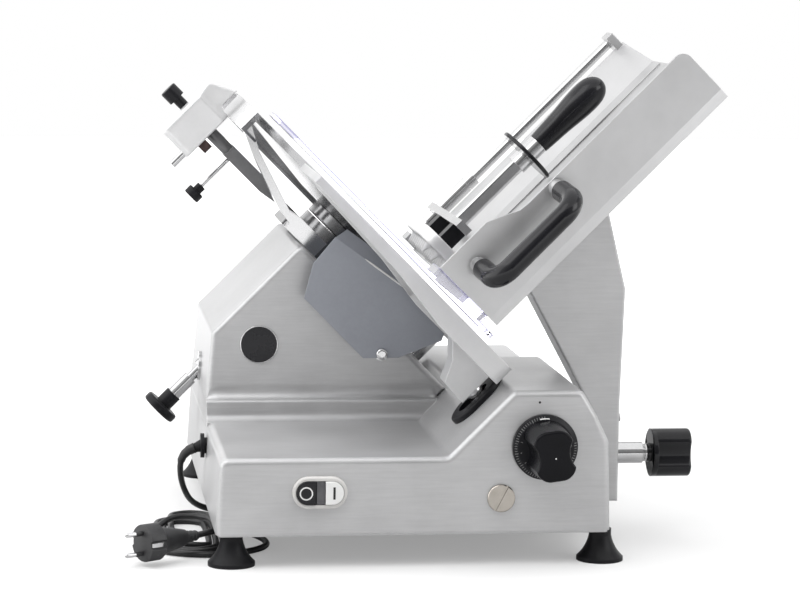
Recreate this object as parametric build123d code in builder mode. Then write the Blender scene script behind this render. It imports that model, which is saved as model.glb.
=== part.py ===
from build123d import *

import os
from math import acos, cos, pi, radians, sin, sqrt, tan

os.makedirs("parts", exist_ok=True)

# Gravity slicer with a tilted blade, in millimetres. Three measures place a piece: x to the right, y to the
# back from the front panel, z up. On the slope, e runs along the blade's axis (right and up), n runs up the
# blade's plane (left and up).

# Origin: middle of the machine's footprint, seen from the middle of the front panel's lower edge
frame_x = 29.22
frame_y = 234.85

# Fits
running_fit = 0.05
loose_fit = 0.3

# Base
base_left = 182.0
base_right = 186.5
base_bottom = 32.0
base_depth = 500.0
base_wall = 5.0
base_draft = 4.0
deck_z = 103.0
facet_n = 49.5
front_top_z = 164.0
rear_top_z = 138.0
front_block_depth = 225.0
outline_fillet = 8.0
panel_fillet = 6.0
plinth_z = 124.0
plinth_right = 68.0
plinth_front_y = 214.0
plinth_back_gap = 18.0
plinth_cove = 10.0
plinth_edge = 4.0
motor_well_x = -42.0
motor_well_length = 166.0
motor_well_width = 108.0
cover_thickness = 2.0
cover_inset = 2.0
foot_radius = 22.0
foot_neck_radius = 10.5
foot_rim = 3.5
foot_left_x = 166.0
foot_right_x = 181.0
foot_inset_y = 22.0
plug_x = 82.4
plug_z = 64.0
plug_radius = 13.0
plug_head = 3.0
plug_shank = 8.0
plug_slot = 2.2

# Switch
switch_x = -86.5
switch_z = 71.5
bezel_length = 51.0
bezel_height = 30.0
bezel_proud = 5.0
collar_length = 48.0
collar_height = 26.5
collar_depth = 14.0
button_well_length = 44.6
button_well_height = 22.4
button_gap = 0.4
button_proud = 2.0
button_travel = 3.0
lamp_half = 4.0
switch_block_depth = 36.0

# Blade and its drive
blade_radius = 175.0
blade_n = 222.5
blade_y = 345.0
blade_plane_e = 198.0
blade_bore = 20.0
blade_flat = 62.0
blade_web = 3.5
hub_radius = 38.0
hub_back_e = 167.0
hub_front_e = 180.0
hub_screw = 3.0
hub_screw_head = 2.5
hub_screw_circle = 29.0
shaft_radius = 12.5
bearing_radius = 26.0
bearing_width = 12.0
pulley_radius = 24.0
pulley_e = 112.0
pulley_width = 18.0
motor_n = 125.0
motor_radius = 46.0
motor_back_e = 10.0
motor_front_e = 104.0
motor_post = 6.0
motor_shaft = 7.0
motor_pulley_radius = 18.0
belt_thickness = 3.0
lug_top_n = 276.0
lug_bottom_n = 180.0
lug_width = 106.0
lug_depth = 12.0
cover_margin = 27.0
cover_sheet = 2.5
cover_boss = 15.0
tie_rod_radius = 5.0
tie_grip_radius = 7.25
tie_grip_e = -42.0
tie_knob_e = -66.0
tie_neck_length = 15.0
tie_cap_radius = 19.0
tie_cap_length = 9.0
tie_wall_e = -25.0
tie_flange_radius = 15.0
tie_sleeve_radius = 9.0
tie_sleeve_length = 36.0

# Guards
ring_back_e = 175.0
ring_web = 3.0
ring_web_reach = 15.0
ring_gap = 3.0
ring_wall = 7.0
ring_post = 7.0
ring_post_angles = (-45.0, -68.0)
upper_guard_arc = (107.0, 123.0)
guard_arm_y = 268.0
guard_arm_width = 24.0
deflector_y = 196.0
deflector_screw_en = (117.0, 126.0)
deflector_screw_radius = 3.0
deflector_spacer = 7.0
sheet = 2.0
flange_width = 16.0
flange_angle = 35.0

# Motor housing
housing_left = 178.0
housing_lean = 5.5
housing_top_n = 256.0
housing_face_e = 137.0
housing_front_y = 225.0
housing_back_gap = 30.0
housing_wall = 4.0
housing_edge = 5.0
housing_shoulder_z = 190.0
housing_slant = 7.0
housing_corner = 7.0
housing_cove = 7.0
housing_cove_inset = 8.0

# Gauge plate, opened a little from the blade's plane
gauge_open = 3.0
gauge_travel = 15.0
gauge_low_n = 60.0
gauge_high_n = 316.0
gauge_front_y = 18.0
gauge_back_y = 180.0
gauge_skin = 7.5
gauge_rim = 20.0
gauge_rim_width = 9.0
gauge_gap = 4.0
gauge_low_corner = 12.0
gauge_high_corner = 30.0
bracket_half_width = 16.0
column_e = 155.0
column_y = 82.0
column_radius = 10.0
column_top_n = 75.0
slider_half_width = 12.0
slider_length = 22.0
slider_height = 23.0
guide_n = 15.0
guide_radius = 7.0
lug_e = (109.0, 174.0)
lug_thickness = 8.0
seal_e = 152.0
seal_length = 62.0
seal_width = 48.0
seal_thickness = 6.0
seal_gap = 0.75

# Dial
dial_x = 122.5
dial_z = 112.0
dial_radius = 30.5
dial_disc_thickness = 7.5
dial_shaft_radius = 6.0
grip_length = 48.0
grip_width = 40.0
grip_height = 50.0
grip_corner = 15.0
waist_radius = 20.0
waist_depth = 4.0
cam_radius = 22.0
cam_width = 8.0
cam_back_y = 26.0

# Carriage
tray_low_e = 213.0
tray_high_e = 513.0
tray_lip = 7.0
tray_floor_n = 140.0
tray_floor_thickness = 6.0
tray_bend_y = 215.0
tray_back_y = 284.0
tray_back_n = 163.5
rib_first_y = 25.0
rib_pitch = 37.0
rib_count = 5
rib_width = 3.0
rib_height = 1.5
wall_thickness = 4.0
wall_low_n = 105.0
wall_high_n = 166.0
wall_bevel = 10.0
hand_guard_n = 181.0
handle_e = (240.0, 341.0)
handle_n = 158.5
handle_radius = 10.0
handle_reach = 54.0
handle_bend = 17.0
handle_post = 7.0
post_length = 15.0
leg_angle = 15.0
clear_back_e = 200.5
clear_sheet = 4.0
clear_low_n = 100.0
clear_drop = 10.5
clear_width = 50.0
clear_block_low_n = 117.0
arm_front_y = 115.0
arm_back_y = 160.0
arm_wall = 6.0
arm_inner_x = 200.0
arm_outer_x = 217.0
arm_bottom_z = 37.0
arm_screw_z = 116.0
rail_x = 140.0
rail_z = 70.0
rail_radius = 11.0
block_front_y = 127.0
block_length = 100.0
stub_y = 150.0
stub_half = 16.0
slide_forward = 120.0
slide_back = 170.0
slot_low_z = 68.0
slot_high_z = 94.0
lock_y = 137.5
lock_z = 81.0
lock_shaft_radius = 10.5
lock_shaft_length = 27.0
lock_neck_radius = 7.5
lock_neck_length = 8.5
lock_grip_width = 32.0
lock_grip_height = 47.0
lock_grip_length = 39.0

# Pusher
rod_n = 170.0
rod_y = 298.0
rod_radius = 5.0
rod_block = 8.0
rod_block_depth = 28.0
sleeve_low_e = 254.0
sleeve_high_e = 299.0
sleeve_radius = 8.0
bush_length = 10.5
pusher_y = 150.0
pusher_n = 173.0
pusher_arm_n = 175.0
arm_plate_front_y = 96.0
arm_plate_height = 14.0
arm_plate_thickness = 8.0
stem_width = 12.0
stem_height = 14.0
collar_radius = 10.0
collar_back = 12.0
collar_front = 18.0
hand_disc_radius = 30.0
hand_disc_thickness = 4.0
hand_disc_e = 351.0
press_y = 160.0
press_n = 173.0
press_width = 120.0
press_height = 50.0
press_corner = 18.0
press_thickness = 12.0
press_block = 16.0
press_block_depth = 18.0
tooth_pitch = 12.0
tooth_radius = 4.0
tooth_height = 11.0
bulb_radius = 15.0
bulb_length = 87.0

# Sharpener
sharpener_e = 151.0
sharpener_drop = 9.5
sharpener_height = 38.0
sharpener_half_length = 35.0
sharpener_half_width = 27.0
sharpener_right = 27.0
sharpener_wall = 2.5
sharpener_crease = 17.0
sharpener_facet = 36.0
facet_set_back = 9.0
nose_rise = 12.0
nose_length = 14.0
pivot_radius = 4.5
pivot_boss = 7.0
leg_rod_radius = 6.5
leg_rod_length = 38.0
leg_thickness = 14.0
leg_width = 24.0
stone_e = 132.0
stone_drop = 2.0
stone_radius = 8.5
stone_width = 10.0
stone_spread = 15.5
pin_radius = 4.0
pin_rise = 5.0
pin_proud = 16.0
clamp_drop = 33.0
clamp_rod = 1.7
clamp_reach = 54.0
knob_radius = 9.0
knob_length = 14.0
knob_neck = 5.5
knob_neck_length = 10.0
clamp_cap_length = 9.0
clamp_neck = 5.0
clamp_neck_length = 7.0

# Mains lead: gland in the left wall, a stretch down to the floor, a put-away hank, a tail to the plug
cord_radius = 3.0
cord_rest_z = 3.1
gland_y = 196.0
gland_z = 82.0
gland_shank = 8.0
gland_flange = 12.0
gland_flange_x = -185.0
gland_flange_thickness = 3.6
gland_nose = 8.0
hank_gap = 0.8
hank_outer = 30.6
hank_half_turns = 4
hank_top_turns = 1
hank_right_x = -167.4
hank_low_y = 100.0
hank_high_y = 194.0
hank_start_y = 150.0
lead_plug_sleeve = 24.0
lead_plug_sleeve_radius = 6.0
lead_plug_grip = 26.0
lead_plug_neck = 8.0
lead_plug_radius = 17.5
lead_plug_face = 12.0
prong_radius = 2.4
prong_length = 19.0
prong_spacing = 19.0

# Places that follow the sizes above
plinth_back_y = base_depth - plinth_back_gap
housing_back_y = base_depth - housing_back_gap
blade_top_n = blade_n + blade_radius
cover_radius = blade_radius - cover_margin
ring_web_radius = blade_radius - ring_web_reach
ring_outer = blade_radius + ring_gap + ring_wall
ring_post_circle = (ring_web_radius + ring_outer) / 2 + 3.5
sharpener_low_n = blade_top_n - sharpener_drop
sharpener_high_n = sharpener_low_n + sharpener_height
nose_n = sharpener_low_n + nose_rise
leg_rod_low_n = sharpener_low_n - leg_rod_length
stone_n = sharpener_low_n - stone_drop
pin_n = sharpener_low_n + pin_rise
clamp_n = sharpener_low_n - clamp_drop
clear_high_n = blade_top_n - clear_drop
axis_dir = Vector(1, 0, 1).normalized()
rise_dir = Vector(-1, 0, 1).normalized()
back_dir = Vector(0, 1, 0)


def at(x, y, z):
    return Vector(x - frame_x, y - frame_y, z)


def slope(e, n, y):
    return at((e - n) / sqrt(2), y, (e + n) / sqrt(2))


def front(y):
    return Plane(origin=at(0, y, 0), x_dir=(1, 0, 0), z_dir=(0, -1, 0))


def section(y):
    return Plane(origin=slope(0, 0, y), x_dir=axis_dir, z_dir=(0, -1, 0))


def across(e, n=blade_n, y=blade_y):
    return Plane(origin=slope(e, n, y), x_dir=back_dir, z_dir=axis_dir)


def above(n, e=0.0, y=0.0):
    return Plane(origin=slope(e, n, y), x_dir=axis_dir, z_dir=rise_dir)


def level(z):
    return Plane(origin=at(0, 0, z), x_dir=(1, 0, 0), z_dir=(0, 0, 1))


def beside(x, y, z):
    return Plane(origin=at(x, y, z), x_dir=(0, 1, 0), z_dir=(1, 0, 0))


def cylinder(plane, radius, length, bore=0.0):
    with BuildPart() as barrel:
        with BuildSketch(plane):
            Circle(radius)
            if bore > 0:
                Circle(bore, mode=Mode.SUBTRACT)
        extrude(amount=length)
    return barrel.part


def finish(part, name):
    part.label = name
    export_step(part, "parts/" + name + ".step")


# Base: two blocks of one outline along the depth, the plinth of the motor housing, hollow from below
facet_shift = facet_n * sqrt(2)
front_outline = [
    (-base_left, base_bottom),
    (-base_left + base_draft, deck_z),
    (deck_z - facet_shift, deck_z),
    (front_top_z - facet_shift, front_top_z),
    (base_right - 28.5, front_top_z),
    (base_right - 15, front_top_z - 23),
    (base_right - 2.6, front_top_z - 49),
    (base_right, base_bottom),
]
rear_outline = [
    (-base_left, base_bottom),
    (-base_left + base_draft, deck_z),
    (deck_z - facet_shift, deck_z),
    (rear_top_z - facet_shift, rear_top_z),
    (base_right - 16, rear_top_z),
    (base_right - 2.6, rear_top_z - 23),
    (base_right, base_bottom),
]

with BuildPart() as base_casting:
    for outline, y0, y1 in (
        (front_outline, 0.0, front_block_depth),
        (rear_outline, front_block_depth, base_depth),
    ):
        with BuildSketch(front(y0)) as block:
            with BuildLine():
                Polyline(*outline, close=True)
            make_face()
            fillet(block.vertices().filter_by_position(Axis.Y, base_bottom + 20, 400), radius=outline_fillet)
        extrude(amount=y0 - y1)
    panel = base_casting.faces().sort_by(Axis.Y)[0]
    fillet(panel.edges().sort_by(Axis.Z)[1:], radius=panel_fillet)
    with BuildSketch(beside(-housing_left, 0, 0)):
        with BuildLine():
            Line((plinth_front_y - plinth_cove, deck_z), (plinth_front_y - plinth_cove, deck_z - base_wall))
            Line((plinth_front_y - plinth_cove, deck_z - base_wall), (plinth_back_y, deck_z - base_wall))
            Line((plinth_back_y, deck_z - base_wall), (plinth_back_y, plinth_z))
            Line((plinth_back_y, plinth_z), (plinth_front_y + plinth_edge, plinth_z))
            RadiusArc(
                (plinth_front_y + plinth_edge, plinth_z),
                (plinth_front_y, plinth_z - plinth_edge),
                -plinth_edge,
            )
            Line((plinth_front_y, plinth_z - plinth_edge), (plinth_front_y, deck_z + plinth_cove))
            RadiusArc(
                (plinth_front_y, deck_z + plinth_cove), (plinth_front_y - plinth_cove, deck_z), plinth_cove
            )
        make_face()
    extrude(amount=plinth_right + housing_left)
    with BuildSketch(beside(housing_cove_inset - housing_left, housing_front_y, plinth_z)):
        with BuildLine():
            RadiusArc((0, housing_cove), (-housing_cove, 0), housing_cove)
            Polyline((-housing_cove, 0), (-housing_cove, -1), (0, -1), (0, housing_cove))
        make_face()
    extrude(amount=plinth_z - facet_shift + housing_left - 2 * housing_cove_inset)
    for outline, y0, y1 in (
        (front_outline, base_wall, front_block_depth - base_wall),
        (rear_outline, front_block_depth - 2 * base_wall, base_depth - base_wall),
    ):
        with BuildSketch(front(y0)):
            with BuildLine():
                Polyline(*outline, close=True)
            make_face()
            offset(amount=-base_wall, kind=Kind.INTERSECTION)
            with Locations(((base_right - base_left) / 2, base_bottom + base_wall / 2)):
                Rectangle(base_left + base_right - 3 * base_wall, 2 * base_wall)
        extrude(amount=y0 - y1, mode=Mode.SUBTRACT)
    with BuildSketch(level(deck_z - 2 * base_wall)):
        with Locations((motor_well_x, blade_y)):
            Rectangle(motor_well_length, motor_well_width)
    extrude(amount=plinth_z, mode=Mode.SUBTRACT)
    lug_low_n = guide_n - guide_radius - 4
    lug_high_n = facet_n - 2
    for e in lug_e:
        with BuildSketch(section(column_y - slider_half_width)):
            with Locations((e, (lug_low_n + lug_high_n) / 2)):
                Rectangle(lug_thickness, lug_high_n - lug_low_n)
        extrude(amount=-2 * slider_half_width)
    with BuildSketch(across(lug_e[0] - lug_thickness, guide_n, column_y)):
        Circle(guide_radius)
    extrude(amount=lug_e[1] - lug_e[0] + 1.5 * lug_thickness, mode=Mode.SUBTRACT)
    with BuildSketch(above(facet_n - 2 * base_wall, column_e + gauge_open - gauge_travel / 2, column_y)):
        SlotOverall(gauge_travel + 2 * column_radius + 3, 2 * column_radius + 3)
    extrude(amount=4 * base_wall, mode=Mode.SUBTRACT)
    slot_y = stub_y + (slide_back - slide_forward) / 2
    with BuildSketch(beside(base_right - 20, slot_y, (slot_low_z + slot_high_z) / 2)):
        RectangleRounded(slide_forward + slide_back + 2 * stub_half + 8, slot_high_z - slot_low_z, 6)
    extrude(amount=40, mode=Mode.SUBTRACT)
    with BuildSketch(front(-base_wall)):
        with Locations((dial_x, dial_z)):
            Circle(dial_shaft_radius + running_fit)
        with Locations((switch_x, switch_z)):
            SlotOverall(collar_length, collar_height)
        with Locations((plug_x, plug_z)):
            Circle(plug_shank)
    extrude(amount=-4 * base_wall, mode=Mode.SUBTRACT)
    with BuildSketch(beside(gland_flange_x, gland_y, gland_z)):
        Circle(gland_shank)
    extrude(amount=4 * base_wall, mode=Mode.SUBTRACT)
finish(base_casting.part, "base_casting")

with BuildPart() as bottom_cover:
    with BuildSketch(level(base_bottom - cover_thickness)):
        with Locations(((base_right - base_left) / 2, base_depth / 2)):
            RectangleRounded(base_left + base_right - 2 * cover_inset, base_depth - 2 * cover_inset, 4)
    extrude(amount=cover_thickness)
finish(bottom_cover.part, "bottom_cover")

# Flared rubber feet under the cover's corners
foot_height = base_bottom - cover_thickness
foot_rows = (foot_inset_y, base_depth - foot_inset_y)
foot_places = [(x, y) for x in (-foot_left_x, foot_right_x) for y in foot_rows]
with BuildPart() as rubber_feet:
    for x, y in foot_places:
        with BuildSketch(front(y)):
            with BuildLine():
                Line((x, 0), (x + foot_radius, 0))
                Line((x + foot_radius, 0), (x + foot_radius, foot_rim))
                ThreePointArc(
                    (x + foot_radius, foot_rim),
                    (x + foot_neck_radius + 3.2, foot_height * 0.48),
                    (x + foot_neck_radius, foot_height * 0.8),
                )
                Line((x + foot_neck_radius, foot_height * 0.8), (x + foot_neck_radius, foot_height))
                Line((x + foot_neck_radius, foot_height), (x, foot_height))
                Line((x, foot_height), (x, 0))
            make_face()
        revolve(axis=Axis(at(x, y, 0), (0, 0, 1)))
finish(rubber_feet.part, "rubber_feet")

# Slotted plug in the front panel
with BuildPart() as plug_screw:
    with BuildSketch(front(-plug_head)):
        with Locations((plug_x, plug_z)):
            Circle(plug_radius)
    extrude(amount=-plug_head)
    chamfer(plug_screw.faces().sort_by(Axis.Y)[0].edges(), length=0.8)
    with BuildSketch(front(0)):
        with Locations((plug_x, plug_z)):
            Circle(plug_shank)
    extrude(amount=-4 * base_wall)
    with BuildSketch(front(-plug_head)):
        with Locations((plug_x, plug_z)):
            Rectangle(2 * plug_radius, plug_slot, rotation=63)
    extrude(amount=-plug_head / 2, mode=Mode.SUBTRACT)
finish(plug_screw.part, "plug_screw")

# Switch: bezel with a collar through the panel, two rocker-sized buttons with a lamp window between them
with BuildPart() as switch_bezel:
    with BuildSketch(front(-bezel_proud)):
        with Locations((switch_x, switch_z)):
            SlotOverall(bezel_length, bezel_height)
    extrude(amount=-bezel_proud)
    fillet(switch_bezel.faces().sort_by(Axis.Y)[0].edges(), radius=2)
    with BuildSketch(front(0)):
        with Locations((switch_x, switch_z)):
            SlotOverall(collar_length, collar_height)
    extrude(amount=-collar_depth)
    with BuildSketch(front(-bezel_proud)):
        with Locations((switch_x, switch_z)):
            SlotOverall(button_well_length, button_well_height)
    extrude(amount=-bezel_proud - collar_depth, mode=Mode.SUBTRACT)
finish(switch_bezel.part, "switch_bezel")

with BuildPart() as switch_block:
    with BuildSketch(front(collar_depth)):
        with Locations((switch_x, switch_z)):
            RectangleRounded(bezel_length, bezel_height, 2)
    extrude(amount=-switch_block_depth)
finish(switch_block.part, "switch_block")


def switch_cap(name, low, high, proud):
    with BuildPart() as cap:
        with BuildSketch(front(-proud)):
            with Locations((switch_x, switch_z)):
                SlotOverall(button_well_length - 2 * button_gap, button_well_height - 2 * button_gap)
            with Locations((switch_x + (low + high) / 2, switch_z)):
                Rectangle(high - low, button_well_height, mode=Mode.INTERSECT)
        extrude(amount=-proud - collar_depth + button_travel + 1)
        fillet(cap.faces().sort_by(Axis.Y)[0].edges(), radius=0.8)
    finish(cap.part, name)


switch_cap("stop_button", -bezel_length / 2, -lamp_half, bezel_proud + button_proud)
switch_cap("start_button", lamp_half + 1, bezel_length / 2, bezel_proud + button_proud)
switch_cap("lamp_window", -lamp_half + button_gap, lamp_half + 1 - button_gap, bezel_proud + 0.5)

# Thickness dial: graduated disc, bow-tie grip, and a shaft with the scroll cam behind the panel
dial_back_y = -0.5
dial_face_y = dial_back_y - dial_disc_thickness
with BuildPart() as dial_disc:
    with BuildSketch(front(dial_face_y)):
        with Locations((dial_x, dial_z)):
            Circle(dial_radius)
    extrude(amount=-dial_disc_thickness)
    chamfer(dial_disc.faces().sort_by(Axis.Y)[0].edges(), length=2.5, length2=4.5)
finish(dial_disc.part, "dial_disc")


def bow_tie(plane, height, width, turn):
    with BuildSketch(plane) as grip:
        RectangleRounded(height, width, grip_corner, rotation=turn)
        with PolarLocations(width / 2 + waist_radius - waist_depth, 2, start_angle=turn + 90):
            Circle(waist_radius, mode=Mode.SUBTRACT)
        fillet(grip.vertices(), radius=3)
    return grip.sketch


with BuildPart() as dial_grip:
    grip_plane = Plane(origin=at(dial_x, dial_face_y, dial_z), x_dir=(1, 0, 0), z_dir=(0, -1, 0))
    extrude(bow_tie(grip_plane, grip_height, grip_width, 98), amount=grip_length, taper=2)
    fillet(dial_grip.faces().sort_by(Axis.Y)[0].edges(), radius=2.5)
finish(dial_grip.part, "dial_grip")

with BuildPart() as dial_shaft:
    with BuildSketch(front(dial_back_y)):
        with Locations((dial_x, dial_z)):
            Circle(dial_shaft_radius)
    extrude(amount=dial_back_y - cam_back_y - 4)
    with BuildSketch(front(cam_back_y - cam_width)):
        with Locations((dial_x, dial_z)):
            Circle(cam_radius)
    extrude(amount=-cam_width)
finish(dial_shaft.part, "dial_shaft")

# Gauge plate on its column, which slides on the guide rod under the facet
with BuildPart() as gauge_seal:
    with BuildSketch(above(facet_n, seal_e, column_y)):
        SlotOverall(seal_length, seal_width)
        with Locations((column_e + gauge_open - gauge_travel / 2 - seal_e, 0)):
            SlotOverall(
                gauge_travel + 2 * (column_radius + seal_gap),
                2 * (column_radius + seal_gap),
                mode=Mode.SUBTRACT,
            )
    extrude(amount=seal_thickness)
    seal_top = gauge_seal.faces().sort_by(Axis(at(0, 0, 0), rise_dir))[-1]
    fillet(seal_top.outer_wire().edges(), radius=3)
finish(gauge_seal.part, "gauge_seal")

with BuildPart() as gauge_column:
    with BuildSketch(section(column_y - slider_half_width)):
        with Locations((column_e, guide_n)):
            Rectangle(slider_length, slider_height)
    extrude(amount=-2 * slider_half_width)
    with BuildSketch(above(guide_n, column_e, column_y)):
        Circle(column_radius)
    extrude(amount=column_top_n - guide_n)
    with BuildSketch(across(column_e - slider_length, guide_n, column_y)):
        Circle(guide_radius + running_fit)
    extrude(amount=2 * slider_length, mode=Mode.SUBTRACT)
finish(gauge_column.part, "gauge_column")


gauge_face_e = blade_plane_e - gauge_open
gauge_mid_y = (gauge_front_y + gauge_back_y) / 2 - blade_y
gauge_mid_n = (gauge_low_n + gauge_high_n) / 2 - blade_n
with BuildPart() as gauge_plate:
    for depth, web in ((gauge_rim, False), (gauge_skin, True)):
        with BuildSketch(across(gauge_face_e - depth)) as outline:
            with Locations((gauge_mid_y, gauge_mid_n)):
                Rectangle(gauge_back_y - gauge_front_y, gauge_high_n - gauge_low_n)
            Circle(blade_radius + gauge_gap, mode=Mode.SUBTRACT)
            front_corners = outline.vertices().sort_by(Axis.X)[:2].sort_by(Axis.Y)
            fillet(front_corners[0], radius=gauge_low_corner)
            fillet(front_corners[1], radius=gauge_high_corner)
            if not web:
                offset(amount=-gauge_rim_width, mode=Mode.SUBTRACT)
        extrude(amount=depth)
    with BuildSketch(section(gauge_front_y - 1)):
        with BuildLine():
            Polyline(
                (gauge_face_e - gauge_rim, 140),
                (gauge_face_e - 12.5, 200),
                (gauge_face_e - gauge_skin, gauge_high_n + 1),
                (gauge_face_e - 2 * gauge_rim, gauge_high_n + 1),
                (gauge_face_e - 2 * gauge_rim, 140),
                close=True,
            )
        make_face()
    extrude(amount=gauge_front_y - gauge_back_y - 2, mode=Mode.SUBTRACT)
    with BuildSketch(section(column_y - bracket_half_width)):
        with BuildLine():
            Polyline(
                (column_e - 15, gauge_low_n + 2),
                (column_e - 13.5, 88),
                (column_e + 6.5, 98),
                (gauge_face_e - gauge_rim, 112),
                (gauge_face_e - gauge_skin, 112),
                (gauge_face_e - gauge_skin, gauge_low_n + 2),
                close=True,
            )
        make_face()
    extrude(amount=-2 * bracket_half_width)
    with BuildSketch(above(gauge_low_n, column_e, column_y)):
        Circle(column_radius)
    extrude(amount=column_top_n - gauge_low_n, mode=Mode.SUBTRACT)
finish(gauge_plate.part, "gauge_plate")

# Motor housing on the plinth
shoulder_x = housing_lean + housing_slant - housing_left
housing_outline = [
    (-housing_left, plinth_z),
    (-housing_left + housing_lean, housing_shoulder_z),
    (shoulder_x, housing_top_n * sqrt(2) + shoulder_x),
    ((housing_face_e - housing_top_n) / sqrt(2), (housing_face_e + housing_top_n) / sqrt(2)),
    ((housing_face_e - facet_n) / sqrt(2), (housing_face_e + facet_n) / sqrt(2)),
    (plinth_z - facet_n * sqrt(2), plinth_z),
]
axle = Axis(slope(0, blade_n, blade_y), axis_dir)
with BuildPart() as motor_housing:
    with BuildSketch(front(housing_front_y)) as shell:
        with BuildLine():
            Polyline(*housing_outline, close=True)
        make_face()
        fillet(shell.vertices().filter_by_position(Axis.Y, plinth_z + 10, 400), radius=housing_corner)
    extrude(amount=housing_front_y - housing_back_y)
    housing_panel = motor_housing.faces().sort_by(Axis.Y)[0]
    fillet(housing_panel.edges().sort_by(Axis.Z)[1:], radius=housing_edge)
    with BuildSketch(front(housing_front_y + housing_wall)):
        with BuildLine():
            Polyline(*housing_outline, close=True)
        make_face()
        offset(amount=-housing_wall, kind=Kind.INTERSECTION)
        with Locations((motor_well_x, plinth_z + housing_wall)):
            Rectangle(motor_well_length, 4 * housing_wall)
    extrude(amount=housing_front_y - housing_back_y + 2 * housing_wall, mode=Mode.SUBTRACT)
    with BuildSketch(across(housing_face_e - 2 * housing_wall)):
        Circle(bearing_radius + 2)
    extrude(amount=4 * housing_wall, mode=Mode.SUBTRACT)
    with BuildSketch(across(-60)):
        Circle(tie_sleeve_radius)
    extrude(amount=80, mode=Mode.SUBTRACT)
finish(motor_housing.part, "motor_housing")

wall_run = Vector(housing_lean, 0, housing_shoulder_z - plinth_z).normalized()
wall_out = Vector(-wall_run.Z, 0, wall_run.X)
bush_z = (tie_wall_e + blade_n) / sqrt(2)
bush_x = -housing_left + housing_lean * (bush_z - plinth_z) / (housing_shoulder_z - plinth_z)
with BuildPart() as tie_rod_bush:
    with BuildSketch(Plane(origin=at(bush_x, blade_y, bush_z), x_dir=back_dir, z_dir=wall_out)):
        Circle(tie_flange_radius)
    extrude(amount=3)
    with BuildSketch(across(tie_wall_e - 2)):
        Circle(tie_sleeve_radius)
    extrude(amount=tie_sleeve_length)
    with BuildSketch(across(-90)):
        Circle(tie_rod_radius + loose_fit)
    extrude(amount=140, mode=Mode.SUBTRACT)
finish(tie_rod_bush.part, "tie_rod_bush")


# Drive: motor on posts behind the sloping face, belt, blade shaft in two bearings
inner_face_e = housing_face_e - housing_wall
with BuildPart() as drive_motor:
    with BuildSketch(across(motor_back_e, motor_n)):
        Circle(motor_radius)
    extrude(amount=motor_front_e - motor_back_e)
    fillet(drive_motor.faces().sort_by(axle)[0].edges(), radius=6)
    with BuildSketch(across(motor_front_e, motor_n)):
        with GridLocations(68, 48, 2, 2):
            Circle(motor_post)
    extrude(amount=inner_face_e - motor_front_e)
finish(drive_motor.part, "drive_motor")

with BuildPart() as motor_pulley:
    motor_shaft_length = pulley_e + pulley_width - motor_front_e
    add(cylinder(across(motor_front_e + loose_fit, motor_n), motor_shaft, motor_shaft_length))
    add(cylinder(across(pulley_e, motor_n), motor_pulley_radius, pulley_width))
finish(motor_pulley.part, "motor_pulley")

with BuildPart() as drive_belt:
    for grow, mode in ((belt_thickness + loose_fit, Mode.ADD), (loose_fit, Mode.SUBTRACT)):
        with BuildSketch(across(pulley_e + 2)) as loop:
            Circle(pulley_radius + grow)
            with Locations((0, motor_n - blade_n)):
                Circle(motor_pulley_radius + grow)
            make_hull()
        extrude(amount=pulley_width - 4, mode=mode)
finish(drive_belt.part, "drive_belt")

with BuildPart() as blade_shaft:
    add(cylinder(across(pulley_e - 12), shaft_radius, hub_front_e + 2 - pulley_e + 12))
    add(cylinder(across(pulley_e), pulley_radius, pulley_width))
    with BuildSketch(across(0)):
        Circle(tie_rod_radius + loose_fit)
    extrude(amount=300, mode=Mode.SUBTRACT)
finish(blade_shaft.part, "blade_shaft")

carrier_front_e = hub_back_e - 1
with BuildPart() as bearing_carrier:
    with BuildSketch(across(housing_face_e)):
        with Locations((0, (lug_top_n + lug_bottom_n) / 2 - blade_n)):
            RectangleRounded(lug_width, lug_top_n - lug_bottom_n, 12)
    extrude(amount=lug_depth)
    hub_length = carrier_front_e - housing_face_e - lug_depth
    add(cylinder(across(housing_face_e + lug_depth), hub_radius, hub_length))
    with BuildSketch(across(housing_face_e)):
        Circle(bearing_radius)
    extrude(amount=carrier_front_e - housing_face_e, mode=Mode.SUBTRACT)
finish(bearing_carrier.part, "bearing_carrier")

with BuildPart() as blade_bearings:
    for e in (housing_face_e + 2, carrier_front_e - 1 - bearing_width):
        add(cylinder(across(e), bearing_radius, bearing_width, shaft_radius + running_fit))
finish(blade_bearings.part, "blade_bearings")

with BuildPart() as blade_hub:
    add(cylinder(across(hub_back_e), hub_radius, hub_front_e - hub_back_e))
    fillet(blade_hub.edges().filter_by(GeomType.CIRCLE), radius=1.5)
    add(cylinder(across(hub_front_e), blade_bore, 2))
    with BuildSketch(across(hub_front_e)):
        with PolarLocations(hub_screw_circle, 4, start_angle=45):
            Circle(hub_screw)
    extrude(amount=blade_web + hub_screw_head)
    with BuildSketch(across(hub_front_e + blade_web)):
        with PolarLocations(hub_screw_circle, 4, start_angle=45):
            Circle(hub_screw + 2)
    extrude(amount=hub_screw_head)
    with BuildSketch(across(hub_back_e - 5)):
        Circle(shaft_radius)
    extrude(amount=40, mode=Mode.SUBTRACT)
finish(blade_hub.part, "blade_hub")

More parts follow.
